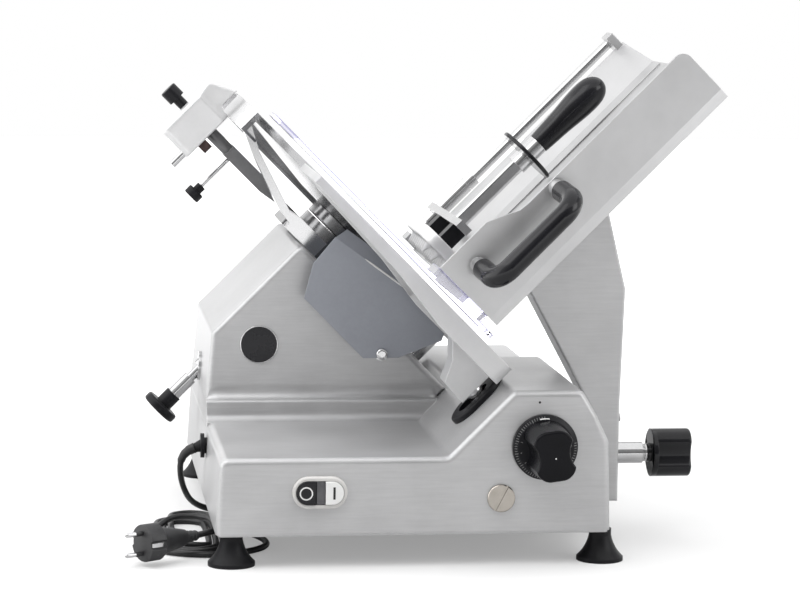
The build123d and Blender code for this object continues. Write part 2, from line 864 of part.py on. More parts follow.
with BuildPart() as slicing_blade:
    with BuildSketch(section(blade_y)):
        with BuildLine():
            Polyline(
                (hub_front_e, blade_n + blade_bore),
                (hub_front_e, blade_n + blade_flat),
                (blade_plane_e - 7.5, blade_n + blade_radius - 15),
                (blade_plane_e - 0.4, blade_n + blade_radius),
                (blade_plane_e, blade_n + blade_radius),
                (blade_plane_e - 1, blade_n + blade_radius - 7),
                (blade_plane_e - 5.5, blade_n + blade_radius - 25),
                (hub_front_e + blade_web, blade_n + blade_flat),
                (hub_front_e + blade_web, blade_n + blade_bore),
                close=True,
            )
        make_face()
    revolve(axis=axle)
    with BuildSketch(across(hub_front_e - 1)):
        with PolarLocations(hub_screw_circle, 4, start_angle=45):
            Circle(hub_screw)
    extrude(amount=blade_web + 2, mode=Mode.SUBTRACT)
finish(slicing_blade.part, "slicing_blade")

# Blade cover held by the tie rod through the hollow shaft
cover_back_e = blade_plane_e - 3.5
with BuildPart() as blade_cover:
    add(cylinder(across(cover_back_e), cover_radius, cover_sheet))
    add(cylinder(across(hub_front_e + 3), cover_boss, cover_back_e - hub_front_e - 3))
    with BuildSketch(across(hub_front_e)):
        Circle(tie_rod_radius + running_fit)
    extrude(amount=cover_back_e - hub_front_e, mode=Mode.SUBTRACT)
finish(blade_cover.part, "blade_cover")

with BuildPart() as tie_rod:
    add(cylinder(across(tie_knob_e), tie_rod_radius, cover_back_e - loose_fit - tie_knob_e))
    add(cylinder(across(tie_knob_e), tie_grip_radius, tie_grip_e - tie_knob_e))
finish(tie_rod.part, "tie_rod")

with BuildPart() as tie_rod_knob:
    add(cylinder(across(tie_knob_e - tie_neck_length - tie_cap_length), tie_cap_radius, tie_cap_length))
    fillet(tie_rod_knob.edges().filter_by(GeomType.CIRCLE), radius=2.5)
    add(cylinder(across(tie_knob_e - tie_neck_length), tie_grip_radius + 1.5, tie_neck_length))
finish(tie_rod_knob.part, "tie_rod_knob")


# Guards round the blade's rim
def ring_sketch(inner, outer, start, stop):
    with BuildSketch(across(ring_back_e)) as ring:
        with BuildLine():
            far = CenterArc((0, 0), outer, start, stop - start)
            near = CenterArc((0, 0), inner, start, stop - start)
            Line(far @ 0, near @ 0)
            Line(far @ 1, near @ 1)
        make_face()
    return ring.sketch


def ring_guard(start, stop):
    with BuildPart() as guard:
        extrude(ring_sketch(ring_web_radius, ring_outer, start, stop), amount=ring_web)
        rim = ring_sketch(blade_radius + ring_gap, ring_outer, start, stop)
        extrude(rim, amount=blade_plane_e - ring_back_e)
    return guard.part


with BuildPart() as guard_ring:
    add(ring_guard(-80, 70))
    with BuildSketch(across(housing_face_e)):
        post_turns = [radians(angle) for angle in ring_post_angles]
        with Locations(*[(ring_post_circle * cos(turn), ring_post_circle * sin(turn)) for turn in post_turns]):
            Circle(ring_post)
    extrude(amount=ring_back_e - housing_face_e)
finish(guard_ring.part, "guard_ring")

with BuildPart() as upper_guard:
    add(ring_guard(*upper_guard_arc))
    with BuildSketch(section(guard_arm_y)):
        with BuildLine():
            Polyline(
                (housing_face_e, housing_top_n - 24),
                (housing_face_e + lug_depth + 6, housing_top_n - 24),
                (housing_face_e + lug_depth + 6, housing_top_n + 14),
                (housing_face_e + lug_depth + 3, housing_top_n + 26),
                (ring_back_e - 2, blade_top_n - 50),
                (ring_back_e + 11, blade_top_n - 26),
                (ring_back_e + 3, blade_top_n - 21),
                (ring_back_e - 8.5, blade_top_n - 46.5),
                (housing_face_e + 9, housing_top_n + 36),
                (housing_face_e + 6, housing_top_n + 18),
                (housing_face_e, housing_top_n + 17),
                close=True,
            )
        make_face()
    extrude(amount=-guard_arm_width)
finish(upper_guard.part, "upper_guard")

# Slice deflector: a plate in front of the housing, its edge bent back beside the blade
deflector_points = [
    (165.5, 241),
    (132, 238),
    (101.6, 220),
    (101, 147),
    (101, 136),
    (126, 111.5),
    (141, 105),
    (168, 93),
    (178, 97.5),
    (180.6, 147),
]
bend_top = slope(*deflector_points[0], deflector_y)
bend_low = slope(*deflector_points[-1], deflector_y)
bend_dir = (bend_low - bend_top).normalized()
flange_level = Vector(0, -1, 0).cross(bend_dir)
flange_out = flange_level * cos(radians(flange_angle)) + back_dir * sin(radians(flange_angle))
with BuildPart() as slice_deflector:
    with BuildSketch(section(deflector_y)) as plate:
        with BuildLine():
            Polyline(*deflector_points, close=True)
        make_face()
        with Locations(deflector_screw_en):
            Circle(deflector_screw_radius, mode=Mode.SUBTRACT)
    extrude(amount=-sheet)
    with BuildSketch(Plane(origin=bend_top, x_dir=bend_dir, z_dir=bend_dir.cross(flange_out))):
        with BuildLine():
            Polyline((0, 0), (6, flange_width), (30, flange_width), ((bend_low - bend_top).length, 3),
                     ((bend_low - bend_top).length, 0), close=True)
        make_face()
    extrude(amount=-sheet)
finish(slice_deflector.part, "slice_deflector")

with BuildPart() as deflector_screw:
    with BuildSketch(section(deflector_y)):
        with Locations(deflector_screw_en):
            Circle(6)
    extrude(amount=4)
    fillet(deflector_screw.faces().sort_by(Axis.Y)[0].edges(), radius=3)
    with BuildSketch(section(deflector_y)):
        with Locations(deflector_screw_en):
            Circle(deflector_screw_radius)
    extrude(amount=-sheet)
    with BuildSketch(section(deflector_y + sheet)):
        with Locations(deflector_screw_en):
            Circle(deflector_spacer)
    extrude(amount=deflector_y + sheet - housing_front_y)
finish(deflector_screw.part, "deflector_screw")

# Carriage: rod in the base, slider with a stub through the wall, arm, tray and its front wall
with BuildPart() as guide_rods:
    with BuildSketch(front(base_wall)):
        with Locations((rail_x, rail_z)):
            Circle(rail_radius)
    extrude(amount=2 * base_wall - base_depth)
    add(cylinder(across(lug_e[0] - lug_thickness / 2, guide_n, column_y), guide_radius,
                 lug_e[1] - lug_e[0] + lug_thickness))
finish(guide_rods.part, "guide_rods")

with BuildPart() as carriage_slider:
    with BuildSketch(front(block_front_y)):
        with Locations((rail_x, rail_z)):
            Rectangle(2 * rail_radius + 22, 2 * rail_radius + 14)
            Circle(rail_radius + running_fit, mode=Mode.SUBTRACT)
    extrude(amount=-block_length)
    with BuildSketch(front(stub_y - stub_half)):
        with Locations(((rail_x + rail_radius + 11 + arm_inner_x) / 2, (slot_low_z + slot_high_z) / 2)):
            Rectangle(arm_inner_x - rail_x - rail_radius - 11, slot_high_z - slot_low_z - 4)
    extrude(amount=-2 * stub_half)
finish(carriage_slider.part, "carriage_slider")

tray_under_n = tray_floor_n - tray_floor_thickness
arm_points = [
    (100.8, 100.8 + tray_under_n * sqrt(2)),
    (188.6, 188.6 + tray_under_n * sqrt(2)),
    (203.4, 316.5),
    (220.6, 244.9),
    (arm_outer_x, 128.8),
    (arm_outer_x, arm_bottom_z),
    (arm_inner_x + 3, arm_bottom_z),
    (arm_inner_x, arm_bottom_z + 20),
    (arm_inner_x, 100),
    (191.7, 123),
    (178.5, 146.7),
    (128, 240),
]
with BuildPart() as carriage_arm:
    with BuildSketch(front(arm_front_y)):
        with BuildLine():
            Polyline(*arm_points, close=True)
        make_face()
    extrude(amount=arm_front_y - arm_back_y)
    fillet(carriage_arm.faces().sort_by(Axis.Y)[0].edges(), radius=2.5)
    with BuildSketch(front(arm_front_y + arm_wall)):
        with BuildLine():
            Polyline(*arm_points, close=True)
        make_face()
        offset(amount=-arm_wall, kind=Kind.INTERSECTION)
    extrude(amount=arm_front_y - arm_back_y, mode=Mode.SUBTRACT)
    add(cylinder(beside(arm_outer_x - 1, lock_y, arm_screw_z), 4, 6))
finish(carriage_arm.part, "carriage_arm")

tray_mid_e = (tray_low_e + tray_high_e) / 2
tray_length = tray_high_e - tray_low_e
with BuildPart() as food_tray:
    with BuildSketch(across(tray_low_e, 0, 0)):
        with BuildLine():
            Polyline(
                (wall_thickness, tray_under_n),
                (tray_bend_y, tray_under_n),
                (tray_back_y + 2, tray_back_n - tray_floor_thickness),
                (tray_back_y, tray_back_n),
                (tray_bend_y - 2, tray_floor_n),
                (wall_thickness, tray_floor_n),
                close=True,
            )
        make_face()
    extrude(amount=tray_length)
    with BuildSketch(above(tray_under_n, tray_low_e - tray_lip / 2, (clear_width + tray_bend_y) / 2)):
        Rectangle(tray_lip, tray_bend_y - clear_width - 4)
    extrude(amount=tray_floor_thickness)
    with BuildSketch(above(tray_floor_n, tray_mid_e, 0)):
        with Locations(*[(0, rib_first_y + rib_pitch * i) for i in range(rib_count)]):
            Rectangle(tray_length - 4, rib_width)
    extrude(amount=rib_height)
    for e in (tray_low_e + 2, tray_high_e - 2 - rod_block):
        with BuildSketch(across(e, 0, 0)):
            with Locations((rod_y + sleeve_radius - rod_block_depth / 2, rod_n - 5)):
                Rectangle(rod_block_depth, 2 * sleeve_radius + 10)
        extrude(amount=rod_block)
    with BuildSketch(across(tray_low_e, rod_n, rod_y)):
        Circle(rod_radius)
    extrude(amount=tray_length, mode=Mode.SUBTRACT)
finish(food_tray.part, "food_tray")

with BuildPart() as pusher_rod:
    add(cylinder(across(tray_low_e + 2, rod_n, rod_y), rod_radius, tray_length - 4))
finish(pusher_rod.part, "pusher_rod")

leg_dir = back_dir * -cos(radians(leg_angle)) + rise_dir * -sin(radians(leg_angle))
with BuildPart() as tray_front_wall:
    with BuildSketch(section(0)) as wall:
        with BuildLine():
            Polyline(
                (tray_low_e, wall_low_n),
                (tray_low_e, hand_guard_n),
                (tray_low_e + 59, hand_guard_n),
                (tray_low_e + 75, hand_guard_n - 7),
                (tray_low_e + 89, wall_high_n + 1),
                (tray_low_e + 101, wall_high_n),
                (tray_high_e, wall_high_n),
                (tray_high_e, wall_low_n),
                close=True,
            )
        make_face()
        fillet(wall.vertices().sort_by(Axis.X)[-2:].sort_by(Axis.Y)[-1], radius=10)
    extrude(amount=-wall_thickness)
    lower_edge = tray_front_wall.edges().group_by(Axis(slope(0, 0, 0), rise_dir))[0].sort_by(Axis.Y)[0]
    chamfer(lower_edge, length=wall_thickness - 1, length2=wall_bevel)
    for e in handle_e:
        with BuildSketch(Plane(origin=slope(e, handle_n, wall_thickness / 2), x_dir=axis_dir, z_dir=leg_dir)):
            Circle(handle_post)
        extrude(amount=post_length)
finish(tray_front_wall.part, "tray_front_wall")

with BuildPart() as carriage_handle:
    handle_plane = Plane(
        origin=slope(handle_e[0], handle_n, wall_thickness / 2), x_dir=axis_dir, z_dir=axis_dir.cross(leg_dir)
    )
    handle_span = handle_e[1] - handle_e[0]
    with BuildLine(handle_plane) as handle_path:
        FilletPolyline(
            (0, post_length),
            (0, handle_reach),
            (handle_span, handle_reach),
            (handle_span, post_length),
            radius=handle_bend,
        )
    with BuildSketch(Plane(origin=handle_path.line @ 0, x_dir=axis_dir, z_dir=handle_path.line % 0)):
        Circle(handle_radius)
    sweep(path=handle_path.line)
finish(carriage_handle.part, "carriage_handle")

with BuildPart() as clear_guard:
    with BuildSketch(across(clear_back_e, (clear_low_n + clear_high_n) / 2, clear_width / 2)):
        RectangleRounded(clear_width, clear_high_n - clear_low_n, 8)
    extrude(amount=clear_sheet)
    with BuildSketch(
        across(clear_back_e + clear_sheet, (clear_block_low_n + hand_guard_n) / 2, clear_width / 2)
    ):
        RectangleRounded(clear_width, hand_guard_n - clear_block_low_n, 5)
    extrude(amount=tray_low_e - clear_back_e - clear_sheet)
finish(clear_guard.part, "clear_guard")

# Lock knob on the arm
lock_start_x = arm_outer_x + loose_fit
with BuildPart() as lock_shaft:
    add(cylinder(beside(lock_start_x, lock_y, lock_z), lock_shaft_radius, lock_shaft_length))
    lock_neck_x = lock_start_x + lock_shaft_length
    add(cylinder(beside(lock_neck_x, lock_y, lock_z), lock_neck_radius, lock_neck_length))
finish(lock_shaft.part, "lock_shaft")

with BuildPart() as lock_knob:
    lock_plane = beside(lock_start_x + lock_shaft_length + lock_neck_length, lock_y, lock_z)
    extrude(bow_tie(lock_plane, lock_grip_height, lock_grip_width, 90), amount=lock_grip_length)
    fillet(lock_knob.faces().sort_by(Axis.X)[-1].edges(), radius=2.5)
finish(lock_knob.part, "lock_knob")

# Pusher: bushes and sleeve on the rod, arm with the stem, toothed plate, hand disc and handle
with BuildPart() as sleeve_bushes:
    for e in (sleeve_low_e - loose_fit - bush_length, sleeve_high_e + loose_fit):
        add(cylinder(across(e, rod_n, rod_y), sleeve_radius, bush_length, rod_radius + running_fit))
finish(sleeve_bushes.part, "sleeve_bushes")

with BuildPart() as pusher_arm:
    with BuildSketch(across(sleeve_low_e, pusher_arm_n, (arm_plate_front_y + rod_y) / 2)):
        Rectangle(rod_y - arm_plate_front_y, arm_plate_height)
    extrude(amount=arm_plate_thickness)
    add(cylinder(across(sleeve_low_e, rod_n, rod_y), sleeve_radius, sleeve_high_e - sleeve_low_e))
    with BuildSketch(across(sleeve_low_e, pusher_n, pusher_y)):
        RectangleRounded(stem_width, stem_height, 3)
    extrude(amount=hand_disc_e - sleeve_low_e)
    collar_start_e = hand_disc_e - collar_back
    add(cylinder(across(collar_start_e, pusher_n, pusher_y), collar_radius, collar_back + collar_front))
    with BuildSketch(across(sleeve_low_e - 5, rod_n, rod_y)):
        Circle(rod_radius + running_fit)
    extrude(amount=100, mode=Mode.SUBTRACT)
finish(pusher_arm.part, "pusher_arm")

press_back_e = sleeve_low_e - press_block_depth
with BuildPart() as press_plate:
    with BuildSketch(across(press_back_e - press_thickness, press_n, press_y)):
        RectangleRounded(press_width, press_height, press_corner)
    extrude(amount=press_thickness)
    with BuildSketch(across(press_back_e - press_thickness, press_n, press_y)):
        with GridLocations(tooth_pitch, tooth_pitch, 9, 3):
            Circle(tooth_radius)
    extrude(amount=-tooth_height, taper=18)
finish(press_plate.part, "press_plate")

with BuildPart() as plate_blocks:
    with BuildSketch(across(press_back_e, pusher_arm_n, press_y)):
        with GridLocations(press_width - 2 * press_block, 0, 2, 1):
            Rectangle(press_block, press_block)
    extrude(amount=press_block_depth)
finish(plate_blocks.part, "plate_blocks")

with BuildPart() as hand_disc:
    hand_disc_plane = across(hand_disc_e, pusher_n, pusher_y)
    add(cylinder(hand_disc_plane, hand_disc_radius, hand_disc_thickness, collar_radius))
    fillet(hand_disc.edges().filter_by(GeomType.CIRCLE).sort_by(SortBy.RADIUS)[-2:], radius=1.5)
finish(hand_disc.part, "hand_disc")

bulb_start_e = hand_disc_e + collar_front
with BuildPart() as pusher_handle:
    with BuildSketch(section(pusher_y)):
        with BuildLine():
            Line((bulb_start_e, pusher_n), (bulb_start_e, pusher_n + 10.5))
            Spline(
                (bulb_start_e, pusher_n + 10.5),
                (bulb_start_e + 30, pusher_n + 12.5),
                (bulb_start_e + 62, pusher_n + bulb_radius),
                (bulb_start_e + 82, pusher_n + 10),
                (bulb_start_e + bulb_length, pusher_n),
                tangents=((1, 0.1), (0, -1)),
            )
            Line((bulb_start_e + bulb_length, pusher_n), (bulb_start_e, pusher_n))
        make_face()
    revolve(axis=Axis(slope(0, pusher_n, pusher_y), axis_dir))
finish(pusher_handle.part, "pusher_handle")

# Sharpener on its leg above the blade's top
pivot = Axis(slope(sharpener_e, 0, blade_y), rise_dir)
leg_face_e = housing_face_e + lug_depth
with BuildPart() as sharpener_leg:
    with BuildSketch(section(blade_y - leg_width / 2)):
        with BuildLine():
            Polyline(
                (leg_face_e, lug_top_n - 14),
                (leg_face_e + 6, lug_top_n - 14),
                (leg_face_e + 6, lug_top_n + 10),
                (sharpener_e + leg_thickness / 2, leg_rod_low_n - 40),
                (sharpener_e + leg_thickness / 2, leg_rod_low_n + 12),
                (sharpener_e - leg_thickness / 2, leg_rod_low_n + 12),
                (sharpener_e - leg_thickness / 2, leg_rod_low_n - 40),
                (leg_face_e, lug_top_n + 4),
                close=True,
            )
        make_face()
    extrude(amount=-leg_width)
    add(cylinder(above(leg_rod_low_n, sharpener_e, blade_y), leg_rod_radius, sharpener_low_n - leg_rod_low_n))
    pivot_length = sharpener_high_n - sharpener_low_n - 4
    add(cylinder(above(sharpener_low_n, sharpener_e, blade_y), pivot_radius, pivot_length))
    with BuildSketch(across(sharpener_e - leg_thickness, clamp_n)):
        Circle(clamp_rod + running_fit)
    extrude(amount=leg_thickness, mode=Mode.SUBTRACT)
finish(sharpener_leg.part, "sharpener_leg")

with BuildPart() as sharpener_cover:
    with BuildSketch(section(blade_y - sharpener_half_width)) as side_face:
        with BuildLine():
            Polyline(
                (sharpener_e - sharpener_half_length, sharpener_low_n + loose_fit),
                (sharpener_e - sharpener_half_length, sharpener_high_n),
                (sharpener_e + sharpener_half_length, sharpener_high_n),
                (sharpener_e + sharpener_half_length + nose_length, nose_n),
                (sharpener_e + sharpener_right, nose_n),
                (sharpener_e + sharpener_right, sharpener_low_n + loose_fit),
                close=True,
            )
        make_face()
    extrude(amount=-2 * sharpener_half_width)
    upright = sharpener_cover.edges().filter_by(pivot).sort_by(Axis(slope(0, 0, 0), axis_dir))
    fillet(upright[:2], radius=6)
    fillet(sharpener_cover.faces().sort_by(pivot)[-1].edges(), radius=5)
    with BuildSketch(above(sharpener_low_n, sharpener_e, blade_y)):
        for side in (-1, 1):
            with BuildLine():
                Polyline(
                    (sharpener_crease, side * sharpener_half_width),
                    (sharpener_crease + sharpener_facet, side * sharpener_half_width),
                    (sharpener_crease + sharpener_facet, side * (sharpener_half_width - facet_set_back)),
                    close=True,
                )
            make_face()
    extrude(amount=sharpener_high_n - sharpener_low_n + 2, mode=Mode.SUBTRACT)
    with BuildSketch(above(sharpener_low_n, sharpener_e, blade_y)):
        with Locations(((sharpener_right - sharpener_half_length) / 2, 0)):
            RectangleRounded(
                sharpener_half_length + sharpener_right - 2 * sharpener_wall,
                2 * (sharpener_half_width - sharpener_wall),
                4,
            )
        Circle(pivot_boss, mode=Mode.SUBTRACT)
    extrude(amount=sharpener_high_n - sharpener_low_n - sharpener_wall, mode=Mode.SUBTRACT)
    with BuildSketch(above(sharpener_low_n, sharpener_e, blade_y)):
        Circle(pivot_radius + running_fit)
    extrude(amount=sharpener_high_n - sharpener_low_n - 3, mode=Mode.SUBTRACT)
    with BuildSketch(across(sharpener_e - sharpener_half_length - 5, pin_n)):
        with GridLocations(2 * stone_spread, 0, 2, 1):
            Circle(pin_radius + running_fit)
    extrude(amount=10, mode=Mode.SUBTRACT)
finish(sharpener_cover.part, "sharpener_cover")

pin_out_e = sharpener_e - sharpener_half_length - pin_proud
for word, side in (("grinding", -1), ("honing", 1)):
    stone_y = blade_y + side * stone_spread
    finish(cylinder(across(stone_e, stone_n, stone_y), stone_radius, stone_width), word + "_stone")
    finish(cylinder(across(pin_out_e, pin_n, stone_y), pin_radius, stone_e - pin_out_e), word + "_pin")

with BuildPart() as sharpener_knob:
    add(cylinder(above(sharpener_high_n + loose_fit, sharpener_e, blade_y), knob_neck, knob_neck_length))
    add(cylinder(above(sharpener_high_n + knob_neck_length, sharpener_e, blade_y), knob_radius, knob_length))
    fillet(sharpener_knob.faces().sort_by(pivot)[-1].edges(), radius=1.5)
finish(sharpener_knob.part, "sharpener_knob")

clamp_start_e = sharpener_e - leg_thickness / 2 - clamp_reach
clamp_rod_e = clamp_start_e + clamp_cap_length + clamp_neck_length
with BuildPart() as clamp_knob:
    add(cylinder(across(clamp_start_e, clamp_n), knob_radius, clamp_cap_length))
    fillet(clamp_knob.edges().filter_by(GeomType.CIRCLE), radius=1.5)
    add(cylinder(across(clamp_start_e + clamp_cap_length, clamp_n), clamp_neck, clamp_neck_length))
    add(cylinder(across(clamp_rod_e, clamp_n), clamp_rod, sharpener_e - loose_fit - clamp_rod_e))
finish(clamp_knob.part, "clamp_knob")

# Gland in the left wall, with a sleeve that points down
nose_dir = Vector(-0.95, 0.08, -0.3).normalized()
with BuildPart() as cable_gland:
    add(cylinder(beside(gland_flange_x, gland_y, gland_z), gland_flange, gland_flange_thickness))
    add(cylinder(beside(gland_flange_x, gland_y, gland_z), gland_shank, 4 * base_wall))
    nose_start = at(gland_flange_x + 2, gland_y, gland_z)
    nose_plane = Plane(origin=nose_start, x_dir=back_dir, z_dir=nose_dir)
    with BuildSketch(nose_plane):
        Circle(gland_shank - 1.5)
    with BuildSketch(nose_plane.offset(gland_nose)):
        Circle(cord_radius + 1.5)
    loft()
finish(cable_gland.part, "cable_gland")


def corner_radii(points):
    radii = []
    for before, corner, after in zip(points, points[1:], points[2:]):
        run_in = corner - before
        run_out = after - corner
        turn = acos(run_in.normalized().dot(run_out.normalized()))
        share_in = 0.45 if radii else 0.9
        radii.append(min(share_in * run_in.length, 0.45 * run_out.length) / tan(turn / 2))
    return radii


def cord_tube(points):
    radii = corner_radii(points)
    print("cord bends", [round(radius, 1) for radius in radii])
    with BuildPart() as tube:
        with BuildLine() as run:
            FilletPolyline(*points, radius=radii)
        wire = run.wire()
        with BuildSketch(Plane(origin=wire @ 0, z_dir=wire % 0)):
            Circle(cord_radius)
        sweep(path=wire)
    return tube.part, wire.length


# Hank: an oval spiral inwards on the floor, a climbing half turn, and the same spiral outwards on top
hank_pitch = 2 * cord_radius + hank_gap
hank_radii = [hank_outer - hank_pitch / 2 * i for i in range(hank_half_turns + 1)]
hank_radii += hank_radii[-2 : -2 - hank_top_turns : -1]
hank_start = at(hank_right_x, hank_start_y, cord_rest_z)
with BuildPart() as cord_hank:
    with BuildLine() as hank_path:
        x = hank_right_x
        z = cord_rest_z
        Line(hank_start, at(x, hank_low_y, z))
        for i, radius in enumerate(hank_radii):
            side = -1 if i % 2 == 0 else 1
            end_y = hank_low_y if side < 0 else hank_high_y
            next_x = x + 2 * side * radius
            next_z = z + hank_pitch if i == hank_half_turns else z
            turn_start = at(x, end_y, z)
            turn_end = at(next_x, end_y, next_z)
            turn_reach = side * (turn_end - turn_start).length / 2
            ThreePointArc(turn_start, (turn_start + turn_end) / 2 + back_dir * turn_reach, turn_end)
            x = next_x
            z = next_z
            last = i == len(hank_radii) - 1
            stop_y = hank_high_y - 4 * cord_radius if last else hank_low_y + hank_high_y - end_y
            Line(at(x, end_y, z), at(x, stop_y, z))
    hank_wire = hank_path.wire()
    with BuildSketch(Plane(origin=hank_wire @ 0, z_dir=hank_wire % 0)):
        Circle(cord_radius)
    sweep(path=hank_wire)
finish(cord_hank.part, "cord_hank")

hank_points = [hank_wire @ (i / 1200) for i in range(1201)]
hank_length = hank_wire.length
far_apart = int(1200 * 8 * cord_radius / hank_length)
hank_gaps = [
    (hank_points[i] - hank_points[j]).length - 2 * cord_radius
    for i in range(0, 1201, 3)
    for j in range(i + far_apart, 1201)
]
print("hank length", round(hank_length, 1), "least gap to itself", round(min(hank_gaps), 2))

# Free stretches: gland to hank in an arc beside the wall, and a loose turn round the hank to the plug
lead_start = nose_start + nose_dir * gland_nose
lead_points = [
    lead_start,
    lead_start + nose_dir * 15,
    at(-204, 206, 42),
    at(-187, 250, 9),
    at(-138, 252, cord_rest_z),
    at(-138, 206, cord_rest_z),
    at(hank_right_x, 182, cord_rest_z),
    hank_start,
]
tail_start = hank_wire @ 1
plug_rear = at(-196.4, 53.4, 21.8)
tail_points = [
    tail_start,
    at(-174.2, 160, tail_start.Z),
    at(-160, 142, tail_start.Z),
    at(-129, 134, cord_rest_z),
    at(-125, 84, cord_rest_z),
    at(-168, 50, cord_rest_z),
    at(-214, 58, cord_rest_z),
    at(-244, 92, cord_rest_z),
    at(-240, 128, cord_rest_z + 0.9),
    at(-222, 152, 16.8),
    at(-206, 172, 16.8),
    at(-178, 164, 16.8),
    at(-174, 110, 17.5),
    at(-174.7, 67.5, 23.5),
    plug_rear,
]
with BuildPart() as mains_cord:
    lead_tube, lead_length = cord_tube(lead_points)
    tail_tube, tail_length = cord_tube(tail_points)
    add(lead_tube)
    add(tail_tube)
finish(mains_cord.part, "mains_cord")
print("cord length", round(lead_length + hank_length + tail_length, 1))

# Plug lying on its side, two round prongs
plug_dir = (plug_rear - tail_points[-2]).normalized()
plug_plane = Plane(origin=plug_rear, x_dir=back_dir, z_dir=plug_dir)
with BuildPart() as mains_plug:
    with BuildSketch(plug_plane):
        Circle(cord_radius + 1.2)
    with BuildSketch(plug_plane.offset(lead_plug_sleeve)):
        Circle(lead_plug_sleeve_radius)
    loft()
    with BuildSketch(plug_plane.offset(lead_plug_sleeve)):
        Circle(lead_plug_neck)
    with BuildSketch(plug_plane.offset(lead_plug_sleeve + lead_plug_grip)):
        Circle(lead_plug_radius - 1)
    loft()
    add(cylinder(plug_plane.offset(lead_plug_sleeve + lead_plug_grip), lead_plug_radius, lead_plug_face))
    with BuildSketch(plug_plane.offset(lead_plug_sleeve + lead_plug_grip + lead_plug_face)):
        with GridLocations(0, prong_spacing, 1, 2):
            Circle(prong_radius)
    extrude(amount=prong_length)
finish(mains_plug.part, "mains_plug")
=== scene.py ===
import math

import bmesh
import bpy
from mathutils import Matrix, Vector


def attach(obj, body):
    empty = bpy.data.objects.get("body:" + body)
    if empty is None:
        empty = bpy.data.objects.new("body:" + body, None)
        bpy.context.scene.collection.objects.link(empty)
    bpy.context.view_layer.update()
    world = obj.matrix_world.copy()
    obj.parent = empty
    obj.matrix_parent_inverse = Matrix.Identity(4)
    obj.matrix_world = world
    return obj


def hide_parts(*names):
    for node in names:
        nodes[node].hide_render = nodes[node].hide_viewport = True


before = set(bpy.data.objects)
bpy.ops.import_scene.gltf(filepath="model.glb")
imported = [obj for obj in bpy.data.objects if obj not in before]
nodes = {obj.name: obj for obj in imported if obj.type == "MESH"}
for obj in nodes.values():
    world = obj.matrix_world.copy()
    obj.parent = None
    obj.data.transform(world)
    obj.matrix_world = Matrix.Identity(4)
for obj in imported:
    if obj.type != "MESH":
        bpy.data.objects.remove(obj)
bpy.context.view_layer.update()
print("frame loaded,", len(nodes), "nodes")

# millimetres on the machine: x right, y back from the front panel, z up
# on the slope, at 45 degrees, e runs along the blade's axis and n up its plane
origin = {"x": 29.22, "y": 234.85}
root2 = math.sqrt(2)
axisN = Vector((-1, 0, 1)).normalized()
axisY = Vector((0, 1, 0))
axisZ = Vector((0, 0, 1))
tiny = 1e-6


def metres(*numbers):  # a vector from numbers in mm
    return Vector(numbers) / 1000


def spot(x, y, z):
    return Vector(((x - origin["x"]) / 1000, (y - origin["y"]) / 1000, z / 1000))


def slopeSpot(e, n, y):
    return spot((e - n) / root2, y, (e + n) / root2)


def placing(xAxis, yAxis, at):
    x = Vector(xAxis).normalized()
    z = x.cross(Vector(yAxis)).normalized()
    y = z.cross(x)
    matrix = Matrix((x, y, z)).transposed().to_4x4()
    matrix.translation = at
    return matrix


def onPanel(x, z, y=0.0):  # local x right, y up, z out of the front panel
    return placing((1, 0, 0), axisZ, spot(x, y, z))


# node helpers
def addNode(tree, kind, settings=None, **inputs):  # inputs by name, or by number as i0, i1 and so on
    node = tree.nodes.new(kind)
    for key, value in (settings or {}).items():
        setattr(node, key, value)
    for label, value in inputs.items():
        numbered = label[0] == "i" and label[1:].isdigit()
        socket = node.inputs[int(label[1:]) if numbered else label]
        if isinstance(value, bpy.types.NodeSocket):
            tree.links.new(value, socket)
        else:
            socket.default_value = value
    return node


def reckon(tree, operation, *terms, clamped=False):  # one step of arithmetic
    settings = {"operation": operation, "use_clamp": clamped}
    terms = {f"i{place}": term for place, term in enumerate(terms)}
    return addNode(tree, "ShaderNodeMath", settings, **terms).outputs[0]


def remap(tree, value, span, onto, easing="LINEAR"):  # from one span onto another, and no further
    settings = {"interpolation_type": easing}
    ends = {"i1": span[0], "i2": span[1], "i3": onto[0], "i4": onto[1]}
    return addNode(tree, "ShaderNodeMapRange", settings, i0=value, **ends).outputs[0]


def blendTones(tree, share, first, second, mode="MIX"):
    settings = {"data_type": "RGBA", "blend_type": mode}
    return addNode(tree, "ShaderNodeMix", settings, i0=share, i6=first, i7=second).outputs[2]


def blendValues(tree, share, first, second):
    settings = {"data_type": "FLOAT"}
    return addNode(tree, "ShaderNodeMix", settings, i0=share, i2=first, i3=second).outputs[0]


def noise(tree, place, size, detail, roughness=0.5):
    inputs = {"Vector": place, "Scale": size, "Detail": detail, "Roughness": roughness}
    return addNode(tree, "ShaderNodeTexNoise", **inputs).outputs[0]


def effect(tree, group, **inputs):
    return addNode(tree, "ShaderNodeGroup", {"node_tree": group}, **inputs).outputs


def newMaterial(name):
    material = bpy.data.materials.new(name)
    material.use_nodes = True
    return material, material.node_tree, material.node_tree.nodes["Principled BSDF"].inputs


# shader groups that several finishes use
def newGroup(name, inputs, outputs):
    group = bpy.data.node_groups.new(name, "ShaderNodeTree")
    for label, kind, default in inputs:
        socket = group.interface.new_socket(name=label, in_out="INPUT", socket_type=kind)
        socket.default_value = default
    for label, kind in outputs:
        group.interface.new_socket(name=label, in_out="OUTPUT", socket_type=kind)
    start = group.nodes.new("NodeGroupInput").outputs
    end = group.nodes.new("NodeGroupOutput").inputs
    return group, start, end


brushGrain = {"lineDetail": 3.0, "lineRoughness": 0.6, "speckDetail": 2.0, "speckShare": 0.35}


